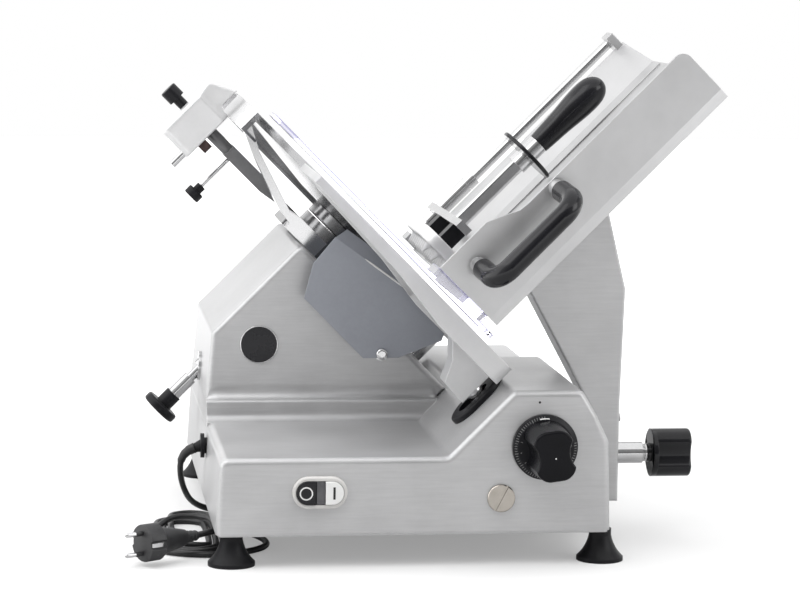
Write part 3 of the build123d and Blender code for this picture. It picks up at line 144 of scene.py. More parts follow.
def buildGrain(v):  # fine lines left by a brush or a belt, long along the stretch
    group, start, end = newGroup(
        "brushGrain",
        [("Stretch", "NodeSocketVector", (60, 60, 900)), ("Speck", "NodeSocketFloat", 900.0)],
        [("Height", "NodeSocketFloat"), ("Tone", "NodeSocketFloat")],
    )
    place = addNode(group, "ShaderNodeTexCoord").outputs["Object"]
    drawn = addNode(group, "ShaderNodeMapping", Vector=place, Scale=start["Stretch"]).outputs[0]
    lines = noise(group, drawn, 1.0, v["lineDetail"], v["lineRoughness"])
    specks = noise(group, place, start["Speck"], v["speckDetail"])
    group.links.new(reckon(group, "MULTIPLY_ADD", specks, v["speckShare"], lines), end["Height"])
    group.links.new(lines, end["Tone"])
    return group


handledTone = {"detail": 5.0, "roughness": 0.55, "span": (0.3, 0.7)}


def buildMottle(v):  # slow change of tone over a surface that hands and cloths have touched
    group, start, end = newGroup(
        "handledTone",
        [("Size", "NodeSocketFloat", 9.0), ("Low", "NodeSocketFloat", 0.0), ("High", "NodeSocketFloat", 1.0)],
        [("Tone", "NodeSocketFloat")],
    )
    place = addNode(group, "ShaderNodeTexCoord").outputs["Object"]
    cloud = noise(group, place, start["Size"], v["detail"], v["roughness"])
    group.links.new(remap(group, cloud, v["span"], (start["Low"], start["High"])), end["Tone"])
    return group


softEdge = {"samples": 6, "span": (0.99, 0.85)}  # the span is how far the two normals agree


def buildEdge(v):  # rounded normal at sharp edges, and a mask of those edges
    group, start, end = newGroup(
        "softEdge",
        [("Radius", "NodeSocketFloat", 0.0006)],
        [("Normal", "NodeSocketVector"), ("Edge", "NodeSocketFloat")],
    )
    rounded = addNode(group, "ShaderNodeBevel", {"samples": v["samples"]}, Radius=start["Radius"]).outputs[0]
    flat = addNode(group, "ShaderNodeNewGeometry").outputs["Normal"]
    agree = addNode(group, "ShaderNodeVectorMath", {"operation": "DOT_PRODUCT"}, i0=rounded, i1=flat)
    group.links.new(rounded, end["Normal"])
    group.links.new(remap(group, agree.outputs["Value"], v["span"], (0.0, 1.0)), end["Edge"])
    return group


grainGroup = buildGrain(brushGrain)
mottleGroup = buildMottle(handledTone)
edgeGroup = buildEdge(softEdge)

# what a finish has where it says nothing else
plainFinish = {
    "mottle": 9.0, "stretch": (300, 300, 300), "speck": 900.0, "edge": 0.0006, "lines": 0.1, "edgeWearAndHighlightShare": 0.25,
    "bump": 0.1, "depth": 0.00005, "streaks": (0.35, 0.65), "grainShare": 0.4, "set": {},
}


def finish(name, given):
    v = {**plainFinish, "edgeWearAndHighlight": given["light"], **given}
    material, tree, shader = newMaterial(name)
    mottle = effect(tree, mottleGroup, Size=v["mottle"])["Tone"]
    grain = effect(tree, grainGroup, Stretch=v["stretch"], Speck=v["speck"])
    edge = effect(tree, edgeGroup, Radius=v["edge"])
    tones = blendTones(tree, mottle, (*v["dark"], 1), (*v["light"], 1))
    streaks = remap(tree, grain["Tone"], v["streaks"], v["streaks"])
    lined = blendTones(tree, v["lines"], tones, streaks, "OVERLAY")
    # painted highlight: the edge mask blends the pale edge colour into the base colour, partly rubbed wear
    # and partly the light that edges catch
    edgeWearAndHighlightShare = reckon(tree, "MULTIPLY", edge["Edge"], v["edgeWearAndHighlightShare"])
    tree.links.new(blendTones(tree, edgeWearAndHighlightShare, lined, (*v["edgeWearAndHighlight"], 1)), shader["Base Color"])
    uneven = reckon(tree, "MULTIPLY_ADD", grain["Tone"], v["grainShare"], mottle)
    tree.links.new(remap(tree, uneven, (0.0, 1.0 + v["grainShare"]), v["rough"]), shader["Roughness"])
    bump = addNode(tree, "ShaderNodeBump", Strength=v["bump"], Distance=v["depth"], Height=grain["Height"])
    tree.links.new(edge["Normal"], bump.inputs["Normal"])
    tree.links.new(bump.outputs[0], shader["Normal"])
    for label, value in v["set"].items():
        shader[label].default_value = value
    return material


# two tones, the roughness, how fine the mottle, lines and specks are, and a pale edge colour: partly wear,
# partly a painted highlight along the edges
finishes = {
    "castAluminium": {
        "dark": (0.45, 0.45, 0.455), "light": (0.55, 0.55, 0.555), "rough": (0.28, 0.4), "mottle": 12.0,
        "stretch": (25, 400, 400), "speck": 1500.0, "bump": 0.1, "lines": 0.12, "edge": 0.0013,
        "edgeWearAndHighlight": (0.82, 0.82, 0.83), "edgeWearAndHighlightShare": 0.45, "set": {"Metallic": 0.5}},
    "turnedSteel": {
        "dark": (0.2, 0.2, 0.205), "light": (0.3, 0.3, 0.305), "rough": (0.14, 0.24), "mottle": 30.0,
        "stretch": (500, 500, 500), "speck": 2000.0, "bump": 0.05, "lines": 0.1, "edge": 0.0008,
        "edgeWearAndHighlight": (0.85, 0.85, 0.85), "edgeWearAndHighlightShare": 0.6, "set": {"Metallic": 1.0}},
    "plateAluminium": {
        "dark": (0.58, 0.58, 0.585), "light": (0.66, 0.66, 0.665), "rough": (0.36, 0.46),
        "mottle": 18.0, "stretch": (120, 120, 60), "speck": 1500.0, "bump": 0.1, "lines": 0.06,
        "edge": 0.0014, "edgeWearAndHighlight": (0.86, 0.86, 0.87), "edgeWearAndHighlightShare": 0.6, "set": {"Metallic": 0.6}},
    "satinSheet": {
        "dark": (0.52, 0.52, 0.525), "light": (0.59, 0.59, 0.595), "rough": (0.36, 0.46),
        "mottle": 14.0, "stretch": (60, 900, 60), "speck": 1200.0, "bump": 0.08, "lines": 0.06,
        "edge": 0.0008, "edgeWearAndHighlight": (0.86, 0.86, 0.87), "edgeWearAndHighlightShare": 0.4, "set": {"Metallic": 1.0}},
    "paleAluminium": {
        "dark": (0.74, 0.74, 0.745), "light": (0.84, 0.84, 0.845), "rough": (0.3, 0.4), "mottle": 18.0,
        "stretch": (300, 300, 300), "speck": 1500.0, "bump": 0.1, "lines": 0.08, "edge": 0.003,
        "edgeWearAndHighlight": (0.9, 0.9, 0.9), "edgeWearAndHighlightShare": 0.4, "set": {"Metallic": 0.55}},
    "polishedSteel": {
        "dark": (0.55, 0.55, 0.555), "light": (0.66, 0.66, 0.665), "rough": (0.1, 0.2), "mottle": 30.0,
        "stretch": (500, 500, 500), "speck": 2000.0, "bump": 0.05, "lines": 0.06, "edge": 0.0005,
        "edgeWearAndHighlight": (0.9, 0.9, 0.9), "edgeWearAndHighlightShare": 0.3, "set": {"Metallic": 1.0}},
    "groundSteel": {
        "dark": (0.5, 0.5, 0.51), "light": (0.62, 0.62, 0.63), "rough": (0.18, 0.3), "mottle": 8.0,
        "stretch": (300, 900, 300), "speck": 2000.0, "bump": 0.08, "lines": 0.18, "edge": 0.0006,
        "edgeWearAndHighlight": (0.85, 0.85, 0.85), "edgeWearAndHighlightShare": 0.4, "set": {"Metallic": 1.0}},
    "warmSteel": {
        "dark": (0.4, 0.37, 0.33), "light": (0.52, 0.485, 0.44), "rough": (0.16, 0.26), "mottle": 60.0,
        "stretch": (500, 500, 500), "speck": 2000.0, "bump": 0.05, "lines": 0.08, "edge": 0.0005,
        "edgeWearAndHighlight": (0.8, 0.78, 0.74), "edgeWearAndHighlightShare": 0.3, "set": {"Metallic": 1.0}},
    "greyBracket": {
        "dark": (0.17, 0.17, 0.175), "light": (0.22, 0.22, 0.225), "rough": (0.35, 0.5), "mottle": 40.0,
        "speck": 1500.0, "bump": 0.15, "lines": 0.1, "edge": 0.0008, "edgeWearAndHighlight": (0.6, 0.6, 0.6),
        "edgeWearAndHighlightShare": 0.6, "set": {"Metallic": 0.6}},
    "glossBlack": {
        "dark": (0.004, 0.004, 0.0055), "light": (0.008, 0.008, 0.0105), "rough": (0.12, 0.22),
        "mottle": 25.0, "speck": 1400.0, "bump": 0.05, "lines": 0.1, "edge": 0.0008,
        "edgeWearAndHighlight": (0.03, 0.03, 0.03), "edgeWearAndHighlightShare": 0.3, "set": {"Specular IOR Level": 0.36}},
    "gripBlack": {
        "dark": (0.004, 0.004, 0.005), "light": (0.007, 0.007, 0.009), "rough": (0.2, 0.28),
        "mottle": 30.0, "speck": 1200.0, "bump": 0.08, "lines": 0.1, "edge": 0.0012,
        "edgeWearAndHighlight": (0.05, 0.05, 0.055), "edgeWearAndHighlightShare": 0.5, "set": {"Specular IOR Level": 0.13}},
    "satinBlack": {
        "dark": (0.005, 0.005, 0.0065), "light": (0.009, 0.009, 0.0115), "rough": (0.3, 0.44),
        "mottle": 30.0, "speck": 900.0, "bump": 0.18, "lines": 0.15, "edge": 0.0006,
        "edgeWearAndHighlight": (0.03, 0.03, 0.03), "edgeWearAndHighlightShare": 0.4, "set": {"Specular IOR Level": 0.24}},
    "rubberBlack": {
        "dark": (0.006, 0.006, 0.007), "light": (0.012, 0.012, 0.014), "rough": (0.36, 0.5),
        "mottle": 30.0, "speck": 700.0, "bump": 0.2, "lines": 0.15, "edge": 0.0006,
        "edgeWearAndHighlight": (0.05, 0.05, 0.05), "edgeWearAndHighlightShare": 0.3, "set": {"Specular IOR Level": 0.2}},
    "leadRubber": {
        "dark": (0.012, 0.012, 0.013), "light": (0.02, 0.02, 0.021), "rough": (0.32, 0.44),
        "mottle": 60.0, "speck": 2200.0, "bump": 0.08, "lines": 0.1, "edge": 0.0003},
    "plugBlack": {
        "dark": (0.018, 0.018, 0.019), "light": (0.032, 0.032, 0.034), "rough": (0.42, 0.56),
        "mottle": 60.0, "speck": 1800.0, "bump": 0.2, "lines": 0.12, "edge": 0.0005,
        "edgeWearAndHighlight": (0.07, 0.07, 0.07), "edgeWearAndHighlightShare": 0.4},
    "badgeDark": {
        "dark": (0.008, 0.008, 0.01), "light": (0.014, 0.014, 0.017), "rough": (0.2, 0.32),
        "mottle": 40.0, "speck": 2400.0, "bump": 0.06, "lines": 0.1, "edge": 0.0003,
        "set": {"Specular IOR Level": 0.35}},
    "slateSheet": {
        "dark": (0.28, 0.293, 0.328), "light": (0.325, 0.339, 0.376), "rough": (0.4, 0.52),
        "mottle": 16.0, "speck": 1600.0, "bump": 0.1, "lines": 0.06, "edge": 0.0005,
        "edgeWearAndHighlight": (0.35, 0.36, 0.38), "edgeWearAndHighlightShare": 0.3, "set": {"Metallic": 0.15}},
    "bezelGrey": {
        "dark": (0.55, 0.54, 0.525), "light": (0.62, 0.61, 0.595), "rough": (0.35, 0.45),
        "mottle": 40.0, "speck": 1200.0, "bump": 0.06, "lines": 0.05, "edge": 0.0005},
    "capWhite": {
        "dark": (0.72, 0.72, 0.71), "light": (0.8, 0.8, 0.79), "rough": (0.3, 0.4), "mottle": 40.0,
        "speck": 1200.0, "bump": 0.05, "lines": 0.04, "edge": 0.0004},
    "lampDark": {
        "dark": (0.045, 0.045, 0.05), "light": (0.09, 0.09, 0.095), "rough": (0.1, 0.2), "mottle": 60.0,
        "stretch": (900, 900, 60), "bump": 0.3, "lines": 0.3, "edge": 0.0004,
        "set": {"Coat Weight": 0.4}},
    "brownStone": {
        "dark": (0.05, 0.03, 0.028), "light": (0.1, 0.065, 0.06), "rough": (0.75, 0.92),
        "mottle": 120.0, "speck": 2600.0, "bump": 0.6, "depth": 0.0002, "lines": 0.3, "edge": 0.0005},
    "motorPaint": {
        "dark": (0.05, 0.05, 0.055), "light": (0.08, 0.08, 0.085), "rough": (0.35, 0.5), "mottle": 20.0,
        "speck": 900.0, "bump": 0.2, "lines": 0.1, "edge": 0.0008},
    "markWhite": {
        "dark": (0.7, 0.7, 0.69), "light": (0.8, 0.8, 0.79), "rough": (0.5, 0.6), "mottle": 200.0,
        "speck": 3000.0, "bump": 0.05, "lines": 0.1, "edge": 0.0001},
    "markGrey": {
        "dark": (0.2, 0.2, 0.2), "light": (0.32, 0.32, 0.32), "rough": (0.5, 0.6), "mottle": 400.0,
        "speck": 3000.0, "bump": 0.05, "lines": 0.2, "edge": 0.0001},
    "markBlack": {
        "dark": (0.008, 0.008, 0.008), "light": (0.016, 0.016, 0.016), "rough": (0.4, 0.5),
        "mottle": 200.0, "speck": 3000.0, "bump": 0.05, "lines": 0.1, "edge": 0.0001},
}
finishes["filletAluminium"] = dict(finishes["castAluminium"], edge=0.0001, edgeWearAndHighlightShare=0.0)
made = {name: finish(name, values) for name, values in finishes.items()}

tintedSheet = {
    "colour": (0.9, 0.89, 0.99, 1), "rim": (0.3, 0.29, 0.6, 1), "edge": 0.0028, "mottle": 20.0,
    "rough": (0.02, 0.08), "ior": 1.16, "gloss": 0.8,
}


def clearFinish(name, v):
    material, tree, shader = newMaterial(name)
    low, high = v["rough"]
    mottle = effect(tree, mottleGroup, Size=v["mottle"], Low=low, High=high)["Tone"]
    tree.links.new(mottle, shader["Roughness"])
    edge = effect(tree, edgeGroup, Radius=v["edge"])["Edge"]
    tree.links.new(blendTones(tree, edge, v["colour"], v["rim"]), shader["Base Color"])
    shader["IOR"].default_value = v["ior"]  # thin sheet, hardly bends what is behind it
    shader["Coat Weight"].default_value = v["gloss"]
    shader["Transmission Weight"].default_value = 1.0
    return material


made["tintedClear"] = clearFinish("tintedClear", tintedSheet)
print("finishes made,", len(made))

wearing = {
    "castAluminium": ["base_casting", "motor_housing", "carriage_arm", "carriage_slider"],
    "plateAluminium": ["gauge_plate"],
    "satinSheet": ["tray_front_wall", "food_tray", "bottom_cover"],
    "paleAluminium": ["sharpener_cover", "press_plate"],
    "polishedSteel": [
        "tie_rod", "tie_rod_bush", "lock_shaft", "pusher_rod", "sleeve_bushes", "pusher_arm", "upper_guard",
        "deflector_screw", "guide_rods", "blade_shaft", "gauge_column", "grinding_pin", "honing_pin",
        "blade_bearings", "motor_pulley", "dial_shaft"],
    "groundSteel": ["slicing_blade", "blade_cover", "guard_ring"],
    "turnedSteel": ["bearing_carrier", "blade_hub"],
    "warmSteel": ["plug_screw"],
    "greyBracket": ["sharpener_leg"],
    "gripBlack": ["dial_grip"],
    "glossBlack": ["carriage_handle", "pusher_handle", "hand_disc", "lock_knob", "stop_button"],
    "satinBlack": [
        "dial_disc", "tie_rod_knob", "sharpener_knob", "clamp_knob", "plate_blocks", "switch_block",
        "mains_plug"],
    "rubberBlack": ["rubber_feet", "gauge_seal", "cable_gland", "mains_cord", "cord_hank", "drive_belt"],
    "slateSheet": ["slice_deflector"],
    "bezelGrey": ["switch_bezel"],
    "capWhite": ["start_button"],
    "lampDark": ["lamp_window"],
    "brownStone": ["grinding_stone", "honing_stone"],
    "motorPaint": ["drive_motor"],
    "tintedClear": ["clear_guard"],
}
for name, wearers in wearing.items():
    for node in wearers:
        mesh = nodes[node].data
        mesh.materials.clear()
        mesh.materials.append(made[name])
print("nodes dressed")

# mesh helpers
sharpAngle = math.radians(35)


def toMesh(work, name, smooth=True):
    mesh = bpy.data.meshes.new(name)
    work.to_mesh(mesh)
    work.free()
    if smooth:
        mesh.shade_smooth()
        mesh.set_sharp_from_angle(angle=sharpAngle)
    return mesh


def newPiece(name, work, material, body, smooth=True):
    mesh = toMesh(work, name, smooth)
    piece = bpy.data.objects.new(name, mesh)
    bpy.context.scene.collection.objects.link(piece)
    mesh.materials.append(made[material])
    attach(piece, body)
    return piece


def turns(count):  # the ways round a circle, each as a cosine and a sine
    angles = [2 * math.pi * step / count for step in range(count)]
    return [(math.cos(angle), math.sin(angle)) for angle in angles]


def hoop(middle, side, lift, radius, count):
    return [middle + (side * c + lift * s) * radius for c, s in turns(count)]


def lathe(outline, place, steps=64):  # outline of (radius, height) in mm, turned about the placing's z
    work = bmesh.new()
    rings = []
    for radius, height in outline:
        ways = turns(steps) if radius > tiny else [(0, 0)]
        rings.append([work.verts.new(place @ metres(radius * c, radius * s, height)) for c, s in ways])
    for low, high in zip(rings, rings[1:]):
        for step in range(steps):
            after = (step + 1) % steps
            if len(low) == 1 and len(high) > 1:
                work.faces.new((low[0], high[after], high[step]))
            elif len(high) == 1 and len(low) > 1:
                work.faces.new((low[step], low[after], high[0]))
            elif len(low) > 1:
                work.faces.new((low[step], low[after], high[after], high[step]))
    bmesh.ops.recalc_face_normals(work, faces=work.faces)
    return work


def loft(rings, capped=True):  # rings of points in metres, joined in order
    work = bmesh.new()
    rows = [[work.verts.new(point) for point in ring] for ring in rings]
    for low, high in zip(rows, rows[1:]):
        for step in range(len(low)):
            after = (step + 1) % len(low)
            work.faces.new((low[step], low[after], high[after], high[step]))
    if capped:
        work.faces.new(rows[0][::-1])
        work.faces.new(rows[-1])
    bmesh.ops.recalc_face_normals(work, faces=work.faces)
    return work


def thicken(work, depth):  # flat marks become thin raised ones; depth in mm goes back into what carries them
    whole = bmesh.ops.extrude_face_region(work, geom=work.faces[:])
    moved = [item for item in whole["geom"] if isinstance(item, bmesh.types.BMVert)]
    bmesh.ops.translate(work, verts=moved, vec=axisY * depth / 1000)
    bmesh.ops.recalc_face_normals(work, faces=work.faces)
    return work


def joined(parts):  # several bmeshes in one
    whole = bmesh.new()
    for part in parts:
        spare = bpy.data.meshes.new("spare")
        part.to_mesh(spare)
        part.free()
        whole.from_mesh(spare)
        bpy.data.meshes.remove(spare)
    return whole


# mains lead in mm: an arc beside the wall, a folded hank on the floor, a loose turn round it, the plug
mainsLead = {
    "radius": 3.0,
    "length": 1.716,
    "toHank": [
        (-190.6, 196.64, 79.6), (-204.86, 197.84, 75.1), (-204, 206, 42), (-187, 250, 9), (-138, 252, 3.1),
        (-138, 206, 3.1), (-167.4, 182, 3.1)],
    "folds": [  # x in, x out, y, reach past it, z in, z out
        (-167.4, -229.6, 100, -33, 3.1, 3.1), (-229.6, -174.0, 195, 29, 3.1, 3.1),
        (-174.0, -222.4, 101, -25, 3.1, 3.1), (-222.4, -180.9, 192, 21, 3.1, 3.1),
        (-180.9, -215.4, 102, -18, 3.1, 9.9), (-215.4, -174.2, 196, 23, 9.9, 9.9)],
    "foldPoints": 6,
    "toPlug": [
        (-174.2, 160, 9.9), (-160, 142, 9.9), (-129, 134, 3.1), (-125, 84, 3.1), (-168, 50, 3.1),
        (-214, 58, 3.1), (-244, 92, 3.1), (-240, 128, 4), (-222, 152, 16.8), (-206, 172, 16.8),
        (-178, 164, 16.8), (-174, 110, 17.5), (-174.7, 67.5, 23.5), (-196.4, 53.4, 21.8)],
    "lengthSteps": 10,
    "roundSteps": 5,
}
leadRelief = {"long": 22.0, "wide": 5.4, "slim": 3.5, "ribs": 5, "ribHeight": 0.25, "sides": 24}
hankTie = {
    "y": 128.0, "width": 9.0, "round": [(-229.6, 3.1), (-222.4, 3.1), (-215.4, 9.9)],  # the runs' x and z
    "gap": 3.1, "thick": 0.9, "lip": 0.4, "lowest": 0.04, "sides": 72,
}


def foldRound(xIn, xOut, y, reach, zIn, zOut, count):  # points round one end of the hank
    half = 180 / count / 2
    wide = 1 / math.cos(math.radians(half))
    points = []
    for step in range(count):
        turn = half * (2 * step + 1)
        angle = math.radians(turn)
        x = (xIn + xOut) / 2 + (xIn - xOut) / 2 * math.cos(angle) * wide
        points.append((x, y + reach * math.sin(angle) * wide, zIn + (zOut - zIn) * turn / 180))
    return points


def buildLead(v):
    route = list(v["toHank"])
    for fold in v["folds"]:
        route += foldRound(*fold, v["foldPoints"])
    route += v["toPlug"]
    line = bpy.data.curves.new("mainsLead", "CURVE")
    line.dimensions = "3D"
    line.resolution_u = v["lengthSteps"]
    spline = line.splines.new("NURBS")
    spline.points.add(len(route) - 1)
    for point, place in zip(spline.points, route):
        point.co = (*spot(*place), 1)
    spline.order_u = 3
    spline.use_endpoint_u = True
    cord = bpy.data.objects.new("mainsLead", line)
    bpy.context.scene.collection.objects.link(cord)
    bare = bpy.data.meshes.new_from_object(cord)
    along = [vertex.co.copy() for vertex in bare.vertices]
    bpy.data.meshes.remove(bare)
    line.bevel_depth = v["radius"] / 1000
    line.bevel_resolution = v["roundSteps"]
    line.use_fill_caps = True
    line.materials.append(made["leadRubber"])
    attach(cord, "machine")
    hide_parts("mains_cord", "cord_hank")
    return cord, along


def buildRelief(v, along):  # tapered, ribbed sleeve on the first stretch of the lead
    rings = []
    gone = 0.0
    for here, after in zip(along, along[1:]):
        share = gone * 1000 / v["long"]
        if share > 1:
            break
        ahead = (after - here).normalized()
        side = ahead.cross(axisY).normalized()
        wide = v["wide"] + (v["slim"] - v["wide"]) * share
        wide += v["ribHeight"] * math.sin(2 * math.pi * v["ribs"] * share)
        rings.append(hoop(here, side, side.cross(ahead), wide / 1000, v["sides"]))
        gone += (after - here).length
    return newPiece("leadRelief", loft(rings), "leadRubber", "machine")


def strapLoop(v, gap):  # x and z of a line drawn round the runs, gap mm off their middles
    loop = []
    for c, s in turns(v["sides"]):
        x, z = max(v["round"], key=lambda run: run[0] * c + run[1] * s)
        loop.append((x + c * gap, max(z + s * gap, v["lowest"])))
    return loop


def buildTie(v):  # strap drawn round three runs of the hank
    inner, outer = strapLoop(v, v["gap"]), strapLoop(v, v["gap"] + v["thick"])
    low, high = v["y"] - v["width"] / 2, v["y"] + v["width"] / 2
    edges = ((inner, low), (outer, low + v["lip"]), (outer, high - v["lip"]), (inner, high), (inner, low))
    work = loft([[spot(x, y, z) for x, z in loop] for loop, y in edges], capped=False)
    bmesh.ops.remove_doubles(work, verts=work.verts, dist=tiny)
    return newPiece("hankTie", work, "satinBlack", "machine")


# moulded plug: ribbed sleeve, flat grip, round head with an earth strip in a groove on each side, two pins
mainsPlug = {
    "rear": (-196.4, 53.4, 21.8),
    "towards": (-21.7, -14.1, -1.7),
    "body": [  # along, half width, half height, squareness
        (0, 4.2, 4.2, 2), (1.5, 5.0, 5.0, 2), (3, 5.0, 5.0, 2), (3.6, 4.3, 4.3, 2), (5, 4.4, 4.4, 2),
        (5.6, 5.3, 5.3, 2), (7.4, 5.4, 5.4, 2), (8, 4.6, 4.6, 2), (9.4, 4.7, 4.7, 2), (10, 5.7, 5.7, 2),
        (11.8, 5.8, 5.8, 2), (12.4, 5.0, 5.0, 2), (13.8, 5.2, 5.2, 2), (14.6, 6.6, 7.4, 2.6),
        (20, 7.2, 8.6, 3), (28, 8.6, 10.2, 3.2), (37, 10.4, 11.8, 3.2), (42, 12.2, 13.0, 3),
        (44, 13.6, 14.0, 2.6), (45, 16.2, 16.2, 2.1), (46.2, 17.3, 17.3, 2), (60.4, 17.5, 17.5, 2),
        (61.6, 17.0, 17.0, 2), (62, 16.2, 16.2, 2)],
    "sides": 96,
    "length": 62.0,
    "groove": {"from": 46.0, "half": 13.0, "deep": 2.4},  # half its width in degrees
    "pinsApart": 19.0,
    "pin": [(0, 0), (2.2, 0), (2.2, 17.0), (1.7, 18.2), (0.9, 19.0), (0, 19.0)],
    "pinSleeve": [(0, -0.5), (2.4, -0.5), (2.4, 7.6), (2.2, 8.0), (0, 8.0)],
    "pinSides": 24,
    "strip": [(14.9, 48.0), (15.5, 48.4), (15.9, 51.0), (15.7, 59.8), (14.9, 61.0)],  # reach, along
    "stripHalf": 1.9,
    "stripRoot": 14.2,
}


def plugBody(v, place):
    groove = v["groove"]
    grooveRise = math.sin(math.radians(groove["half"]))
    rings = []
    for along, wide, tall, square in v["body"]:
        ring = []
        for c, s in turns(v["sides"]):
            reach = ((abs(c) / wide) ** square + (abs(s) / tall) ** square) ** (-1 / square)
            if along >= groove["from"] and abs(s) < grooveRise:
                reach -= groove["deep"]
            ring.append(place @ metres(reach * c, reach * s, along))
        rings.append(ring)
    return loft(rings)


def earthStrip(v, place, side):
    half, root = v["stripHalf"], v["stripRoot"]
    rings = []
    for reach, along in v["strip"]:
        corners = ((reach, -half), (reach, half), (root, half), (root, -half))
        rings.append([place @ metres(side * out, across, along) for out, across in corners])
    return loft(rings)


def buildPlug(v):
    ahead = Vector(v["towards"]).normalized()
    place = placing(axisZ.cross(ahead), axisZ, spot(*v["rear"]))
    plug = newPiece("leadPlug", plugBody(v, place), "plugBlack", "machine")
    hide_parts("mains_plug")
    metal, sleeves = [], []
    for side in (-1, 1):
        root = place @ Matrix.Translation(metres(0, side * v["pinsApart"] / 2, v["length"]))
        metal += [lathe(v["pin"], root, v["pinSides"]), earthStrip(v, place, side)]
        sleeves.append(lathe(v["pinSleeve"], root, v["pinSides"]))
    pins = newPiece("plugPins", joined(metal), "polishedSteel", "machine")
    cuffs = newPiece("plugPinSleeves", joined(sleeves), "plugBlack", "machine")
    return [plug, pins, cuffs]


def layLead(v):
    cord, along = buildLead(v)
    pieces = [buildRelief(leadRelief, along), buildTie(hankTie)] + buildPlug(mainsPlug)
    measured = sum((b - a).length for a, b in zip(along, along[1:]))
    print("mains lead laid,", round(measured, 3), "m")


layLead(mainsLead)

# the dial's flat face and chamfer carry a numbered scale and a dash over its zero
dialFace = {
    "centre": (122.5, 112.0), "flatY": -8.0, "rimY": -5.5, "chamfer": (26.0, 30.5), "zero": 93.0,
    "markDepth": 0.25,
}
dialScale = {
    "figures": 13, "step": 24.6, "figureAt": 23.4, "figureSize": 2.6, "figureCurve": 3, "figureProud": 0.06,
    "ticks": 57, "perFigure": 5, "from": 26.9, "to": 29.2, "wide": 0.32, "longer": 0.7, "bolder": 1.3,
    "tickProud": 0.07,
}
dialDash = {"radius": 27.2, "long": 9.0, "wide": 0.9, "proud": 0.09, "steps": 12}


def onDial(radius, angle, proud, aside=0.0):  # a point just proud of the dial, its angle from x towards z
    face = dialFace
    inner, outer = face["chamfer"]
    sunk = min((outer - radius) / (outer - inner), 1.0)
    x = face["centre"][0] + radius * math.cos(angle) - aside * math.sin(angle)
    z = face["centre"][1] + radius * math.sin(angle) + aside * math.cos(angle)
    return spot(x, face["rimY"] + (face["flatY"] - face["rimY"]) * sunk - proud, z)


def tickMarks(v):
    work = bmesh.new()
    for k in range(v["ticks"]):
        angle = math.radians(dialFace["zero"] + v["step"] * k / v["perFigure"])
        main = k % v["perFigure"] == 0
        near = v["from"] - (v["longer"] if main else 0.0)
        half = v["wide"] / 2 * (v["bolder"] if main else 1.0)
        corners = ((near, -half), (near, half), (v["to"], half), (v["to"], -half))
        points = [onDial(radius, angle, v["tickProud"], aside) for radius, aside in corners]
        work.faces.new([work.verts.new(point) for point in points])
    return thicken(work, dialFace["markDepth"])


def figureMark(v, number):
    figure = bpy.data.curves.new("figure", "FONT")
    figure.body = str(number)
    figure.size = v["figureSize"] / 1000
    figure.align_x = "CENTER"
    figure.align_y = "CENTER"
    figure.resolution_u = v["figureCurve"]
    holder = bpy.data.objects.new("figure", figure)
    flat = bpy.data.meshes.new_from_object(holder)
    angle = math.radians(dialFace["zero"] + v["step"] * number)
    up = Vector((math.cos(angle), 0, math.sin(angle)))
    at = onDial(v["figureAt"], angle, v["figureProud"])
    flat.transform(placing((up.z, 0, -up.x), up, at))
    work = bmesh.new()
    work.from_mesh(flat)
    bpy.data.objects.remove(holder)
    bpy.data.curves.remove(figure)
    bpy.data.meshes.remove(flat)
    return thicken(work, dialFace["markDepth"])


def dashMark(v):
    work = bmesh.new()
    rows = []
    for step in range(v["steps"] + 1):
        angle = math.radians(dialFace["zero"]) + v["long"] / v["radius"] * (step / v["steps"] - 0.5)
        radii = (v["radius"] - v["wide"] / 2, v["radius"] + v["wide"] / 2)
        rows.append([work.verts.new(onDial(radius, angle, v["proud"])) for radius in radii])
    for low, high in zip(rows, rows[1:]):
        work.faces.new((low[0], low[1], high[1], high[0]))
    return thicken(work, dialFace["markDepth"])


marks = [tickMarks(dialScale)] + [figureMark(dialScale, number) for number in range(dialScale["figures"])]
newPiece("dialScale", joined(marks), "markGrey", "dial", smooth=False)
newPiece("dialDash", dashMark(dialDash), "markWhite", "dial", smooth=False)

# a dot on the dial's grip, and the dot on the panel that the scale is read against
gripDot = {
    "x": 123.1, "z": 110.3, "y": -56.0, "sides": 20,
    "outline": [(0, 0.12), (0.5, 0.12), (0.72, 0.05), (0.75, -0.3)],
}
readingDot = {
    "x": 117.4, "z": 153.4, "y": 0.0, "sides": 28,
    "outline": [(0, 0.3), (0.6, 0.25), (1.1, 0.05), (1.3, -0.2)],
}


def dotMark(v):
    return lathe(v["outline"], onPanel(v["x"], v["z"], v["y"]), v["sides"])


newPiece("gripDot", dotMark(gripDot), "markWhite", "dial")
newPiece("readingDot", dotMark(readingDot), "markBlack", "machine")
print("dial marked")

# plain dark badge with a pale rim on the motor housing
badge = {
    "x": -125.6, "y": 225.0, "z": 177.9, "sides": 96,
    "rim": [(17.9, 0.8), (17.9, 1.3), (18.6, 1.4), (19.0, 1.0), (19.0, -0.4)],
    "face": [(0, 1.45), (9.5, 1.35), (17.9, 0.95), (17.9, -0.4)],
}


def buildBadge(v):
    place = onPanel(v["x"], v["z"], v["y"])
    newPiece("badgeRim", lathe(v["rim"], place, v["sides"]), "polishedSteel", "machine")
    newPiece("badgeFace", lathe(v["face"], place, v["sides"]), "badgeDark", "machine")


buildBadge(badge)
print("badge set")

# switch marks: a ring on the stop button, a bar on the start button
switchMarks = {
    "z": 71.5, "stopX": -99.5, "startX": -73.6, "front": -7.0,
    "ring": [(5.0, -0.2), (5.0, 0.1), (6.2, 0.1), (6.2, -0.2)],
    "ringSides": 48,
    "barWide": 2.1,
    "barTall": 11.4,
    "barLayers": [(-0.2, 0.0), (0.06, 0.0), (0.1, -0.1)],  # height, growth on each side
}


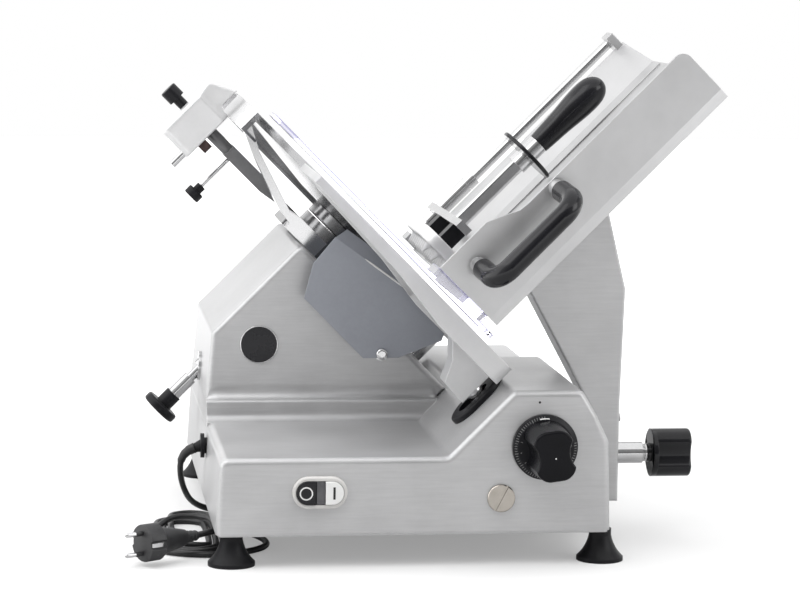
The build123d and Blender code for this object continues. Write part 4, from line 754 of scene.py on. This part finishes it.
def buildSwitchMarks(v):
    ring = lathe(v["ring"], onPanel(v["stopX"], v["z"], v["front"]), v["ringSides"])
    newPiece("stopRing", ring, "markWhite", "stop")
    place = onPanel(v["startX"], v["z"], v["front"])
    rings = []
    for height, growth in v["barLayers"]:
        wide, tall = v["barWide"] / 2 + growth, v["barTall"] / 2 + growth
        corners = ((-wide, -tall), (wide, -tall), (wide, tall), (-wide, tall))
        rings.append([place @ metres(x, y, height) for x, y in corners])
    newPiece("startBar", loft(rings), "markBlack", "start", smooth=False)


buildSwitchMarks(switchMarks)
print("switch marked")

# hollow sweep where the housing's front runs into the ledge under it
ledgeSweep = {
    "y": 225.0, "z": 124.0, "out": 8.0, "up": 17.0, "steps": 12, "proud": 0.03, "sunk": 1.0,
    "stations": [  # x, share of the full sweep
        (-177.0, 0.05), (-175.0, 0.45), (-171.5, 0.8), (-166.0, 1.0), (45.0, 1.0), (50.0, 0.7), (53.0, 0.05)],
}


def buildLedgeSweep(v):
    back, foot = v["y"] + v["sunk"], v["z"] - v["sunk"]
    rings = []
    for x, share in v["stations"]:
        ring = []
        for step in range(v["steps"] + 1):
            angle = math.pi / 2 * step / v["steps"]
            out = v["out"] * (1 - math.cos(angle)) * share
            up = v["up"] * (1 - math.sin(angle)) * share
            ring.append(spot(x, v["y"] - out, v["z"] + up + v["proud"]))
        ring.append(spot(x, v["y"] - v["out"] * share, foot))
        ring.append(spot(x, back, foot))
        ring.append(spot(x, back, v["z"] + v["up"] * share))
        rings.append(ring)
    newPiece("ledgeSweep", loft(rings), "filletAluminium", "machine")


buildLedgeSweep(ledgeSweep)
print("ledge swept")

# bright sleeve on the clamp knob's thin rod, with a thread's end cuts near the bracket
clampSleeve = {
    "n": 355.0, "y": 345.0, "from": 106.2, "to": 143.6, "radius": 2.05, "bore": 1.5, "nose": 0.1, "tail": 0.2,
    "plainShare": 0.62, "cuts": 7, "pitch": 1.7, "sides": 28,
    "cut": [(0.3, 0.0), (0.75, 0.28), (1.2, 0.0)],  # along, depth
}


def buildClampSleeve(v):
    place = placing(axisY, axisN, slopeSpot(v["from"], v["n"], v["y"]))
    long, radius = v["to"] - v["from"], v["radius"]
    plain = long * v["plainShare"]
    outline = [(v["bore"], 0.0), (radius, v["nose"]), (radius, plain)]
    for turn in range(v["cuts"]):
        outline += [(radius - depth, plain + turn * v["pitch"] + along) for along, depth in v["cut"]]
    outline += [(radius, long - v["tail"]), (v["bore"], long)]
    newPiece("clampSleeve", lathe(outline, place, v["sides"]), "polishedSteel", "clamp")


buildClampSleeve(clampSleeve)
print("clamp rod sleeved")

# lock knob's round back, hollowed like a dish, with a ribbed collar on its shaft; all turned about the shaft
lockTrim = {
    "at": (244.2, 137.5, 81.0),
    "collar": [
        (7.5, 0.1), (8.5, 0.2), (8.8, 0.7), (8.8, 1.6), (8.3, 1.9), (8.3, 2.5), (8.8, 2.8), (8.8, 4.4),
        (8.4, 4.9), (7.5, 5.0)],
    "dish": [
        (7.5, 5.2), (8.9, 5.4), (9.2, 6.0), (9.2, 11.2), (13, 11.4), (20.6, 11.0), (21.6, 8.9), (22.4, 8.5),
        (23.2, 9.0), (23.4, 10.4), (23.3, 13.0), (22.6, 13.6), (14, 13.8)],
    "dishSides": 96,
}


def buildLockTrim(v):
    place = placing(axisY, axisZ, spot(*v["at"]))
    newPiece("lockCollar", lathe(v["collar"], place), "polishedSteel", "lock")
    newPiece("lockDish", lathe(v["dish"], place, v["dishSides"]), "glossBlack", "lock")


buildLockTrim(lockTrim)
print("lock knob trimmed")

# painted highlight: a thin white bead along the lower part of the deflector's fold, where the bent sheet
# catches the light
paintedFoldHighlight = {
    "top": (165.5, 241.0), "low": (180.6, 147.0), "y": 195.7, "from": 0.38, "to": 0.985, "radius": 0.9,
    "swell": [(0.0, 0.15), (0.06, 0.7), (0.2, 1.0), (0.7, 1.0), (0.92, 0.8), (1.0, 0.15)],  # along, thickness
    "sides": 12,
}


def buildFoldBead(v):
    top, low = slopeSpot(*v["top"], v["y"]), slopeSpot(*v["low"], v["y"])
    side = (low - top).normalized().cross(axisY).normalized()
    rings = []
    for share, swell in v["swell"]:
        middle = top.lerp(low, v["from"] + (v["to"] - v["from"]) * share)
        rings.append(hoop(middle, side, axisY, v["radius"] * swell / 1000, v["sides"]))
    newPiece("paintedFoldHighlight", loft(rings), "markWhite", "machine")


buildFoldBead(paintedFoldHighlight)
print("deflector's fold beaded")


def sightRays(tree):  # rays that see the backdrop, straight or through the clear guard, and mirrored rays
    path = addNode(tree, "ShaderNodeLightPath").outputs
    straight = reckon(tree, "MAXIMUM", path["Is Camera Ray"], path["Is Transmission Ray"])
    return straight, path["Is Glossy Ray"]


# pale floor that goes over into the backdrop; the fades are in metres from the machine's middle
paleFloor = {
    "colour": (0.5, 0.5, 0.5, 1), "rough": 0.8, "reach": 6.0, "cells": 8, "glow": 0.3,
    "seenFade": (0.3, 1.6), "mirroredFade": (0.7, 2.2),
}


def buildFloor(v):
    work = bmesh.new()
    bmesh.ops.create_grid(work, x_segments=v["cells"], y_segments=v["cells"], size=v["reach"])
    floor = bpy.data.objects.new("floor", toMesh(work, "floor", smooth=False))
    bpy.context.scene.collection.objects.link(floor)
    material, tree, shader = newMaterial("paleFloor")
    shader["Base Color"].default_value = v["colour"]
    shader["Roughness"].default_value = v["rough"]
    shader["Emission Color"].default_value = (1, 1, 1, 1)
    place = addNode(tree, "ShaderNodeTexCoord").outputs["Object"]
    away = addNode(tree, "ShaderNodeVectorMath", {"operation": "LENGTH"}, i0=place).outputs["Value"]
    near = remap(tree, away, v["seenFade"], (v["glow"], 1.0), "SMOOTHSTEP")
    far = remap(tree, away, v["mirroredFade"], (0.0, 1.0), "SMOOTHSTEP")
    straight, mirrored = sightRays(tree)
    seen = reckon(tree, "MULTIPLY", straight, near)
    tree.links.new(reckon(tree, "MULTIPLY_ADD", mirrored, far, seen), shader["Emission Strength"])
    floor.data.materials.append(material)


buildFloor(paleFloor)
print("floor laid")

# light from all round: white where it is seen, a dimmer room in front, a dark hood overhead for mirrored rays
studio = {
    "sky": 0.52, "soft": 0.36, "room": 0.2, "roomSpan": (-0.9, 0.5),
    "sides": 0.45, "sidesSpan": (0.15, 0.8), "above": 0.6, "aboveSpan": (0.25, 0.9),
    "roof": 1.6, "roofSpan": (0.7, 0.97), "flank": 1.2, "flankSpan": (-0.97, -0.7),
    "hood": 0.15, "hoodSpan": (0.35, 0.8),
}


def buildStudio(v):
    world = bpy.data.worlds.new("studio")
    bpy.context.scene.world = world
    world.use_nodes = True
    tree = world.node_tree
    back = tree.nodes["Background"].inputs
    way = addNode(tree, "ShaderNodeTexCoord").outputs["Generated"]
    x, y, z = addNode(tree, "ShaderNodeSeparateXYZ", i0=way).outputs
    room = remap(tree, y, v["roomSpan"], (v["room"], 1.0))
    sides = remap(tree, reckon(tree, "ABSOLUTE", x), v["sidesSpan"], (0.0, v["sides"]))
    above = remap(tree, z, v["aboveSpan"], (0.0, v["above"]))
    lit = reckon(tree, "ADD", room, reckon(tree, "ADD", sides, above), clamped=True)
    dim = remap(tree, lit, (0.0, 1.0), (v["sky"] * v["soft"], v["sky"]))
    roof = remap(tree, z, v["roofSpan"], (0.0, v["roof"]))
    flank = remap(tree, x, v["flankSpan"], (v["flank"], 0.0))
    soft = reckon(tree, "ADD", reckon(tree, "ADD", dim, roof), flank)
    calm = reckon(tree, "MULTIPLY", lit, remap(tree, z, v["hoodSpan"], (1.0, v["hood"])))
    straight, mirrored = sightRays(tree)
    unseen = blendValues(tree, mirrored, soft, calm)
    tree.links.new(blendValues(tree, straight, unseen, 1.0), back["Color"])
    back["Strength"].default_value = 1.0


buildStudio(studio)

# soft boxes round the machine, all turned to its middle
lampAim = (0, 0, 0.22)
softBoxes = {
    "overBox": {"at": (0.0, -0.1, 2.5), "size": 4.8, "power": 86.0},
    "keyBox": {"at": (-0.9, -1.0, 2.0), "size": 1.2, "power": 6.0},
    "fillBox": {"at": (1.9, -1.3, 1.2), "size": 1.2, "power": 11.0},
    "leftBox": {"at": (-2.2, 0.0, 1.2), "size": 2.4, "power": 26.0},
    "backBox": {"at": (-0.9, 1.9, 1.3), "size": 1.2, "power": 3.0},
}
for name, lamp in softBoxes.items():
    light = bpy.data.lights.new(name, "AREA")
    light.size = lamp["size"]
    light.energy = lamp["power"]
    box = bpy.data.objects.new(name, light)
    box.location = lamp["at"]
    box.rotation_euler = (Vector(lampAim) - Vector(lamp["at"])).to_track_quat("-Z", "Y").to_euler()
    bpy.context.scene.collection.objects.link(box)
print("studio lit")

# the photograph's point of view, with its place in mm and its angles in degrees
photoView = {
    "from": (-341.9, -2522.3, 557.1), "yaw": 7.4, "pitch": 6.9, "roll": 0.7,
    "lens": 126.0, "sensor": 36.0, "seesTo": 50.0,
}


def aimCamera(v):
    yaw, pitch, roll = (math.radians(v[turn]) for turn in ("yaw", "pitch", "roll"))
    flat = Vector((math.sin(yaw), math.cos(yaw), 0))
    right = Vector((math.cos(yaw), -math.sin(yaw), 0))
    ahead = flat * math.cos(pitch) - axisZ * math.sin(pitch)
    up = flat * math.sin(pitch) + axisZ * math.cos(pitch)
    rolledRight = right * math.cos(roll) + up * math.sin(roll)
    rolledUp = up * math.cos(roll) - right * math.sin(roll)
    lens = bpy.data.cameras.new("photoView")
    lens.sensor_fit = "HORIZONTAL"
    lens.sensor_width = v["sensor"]
    lens.lens = v["lens"]
    lens.clip_end = v["seesTo"]
    camera = bpy.data.objects.new("photoView", lens)
    turned = Matrix((rolledRight, rolledUp, -ahead)).transposed().to_4x4()
    turned.translation = spot(*v["from"])
    camera.matrix_world = turned
    bpy.context.scene.collection.objects.link(camera)
    bpy.context.scene.camera = camera


aimCamera(photoView)
bpy.context.scene.view_settings.view_transform = "Standard"
print("camera aimed")
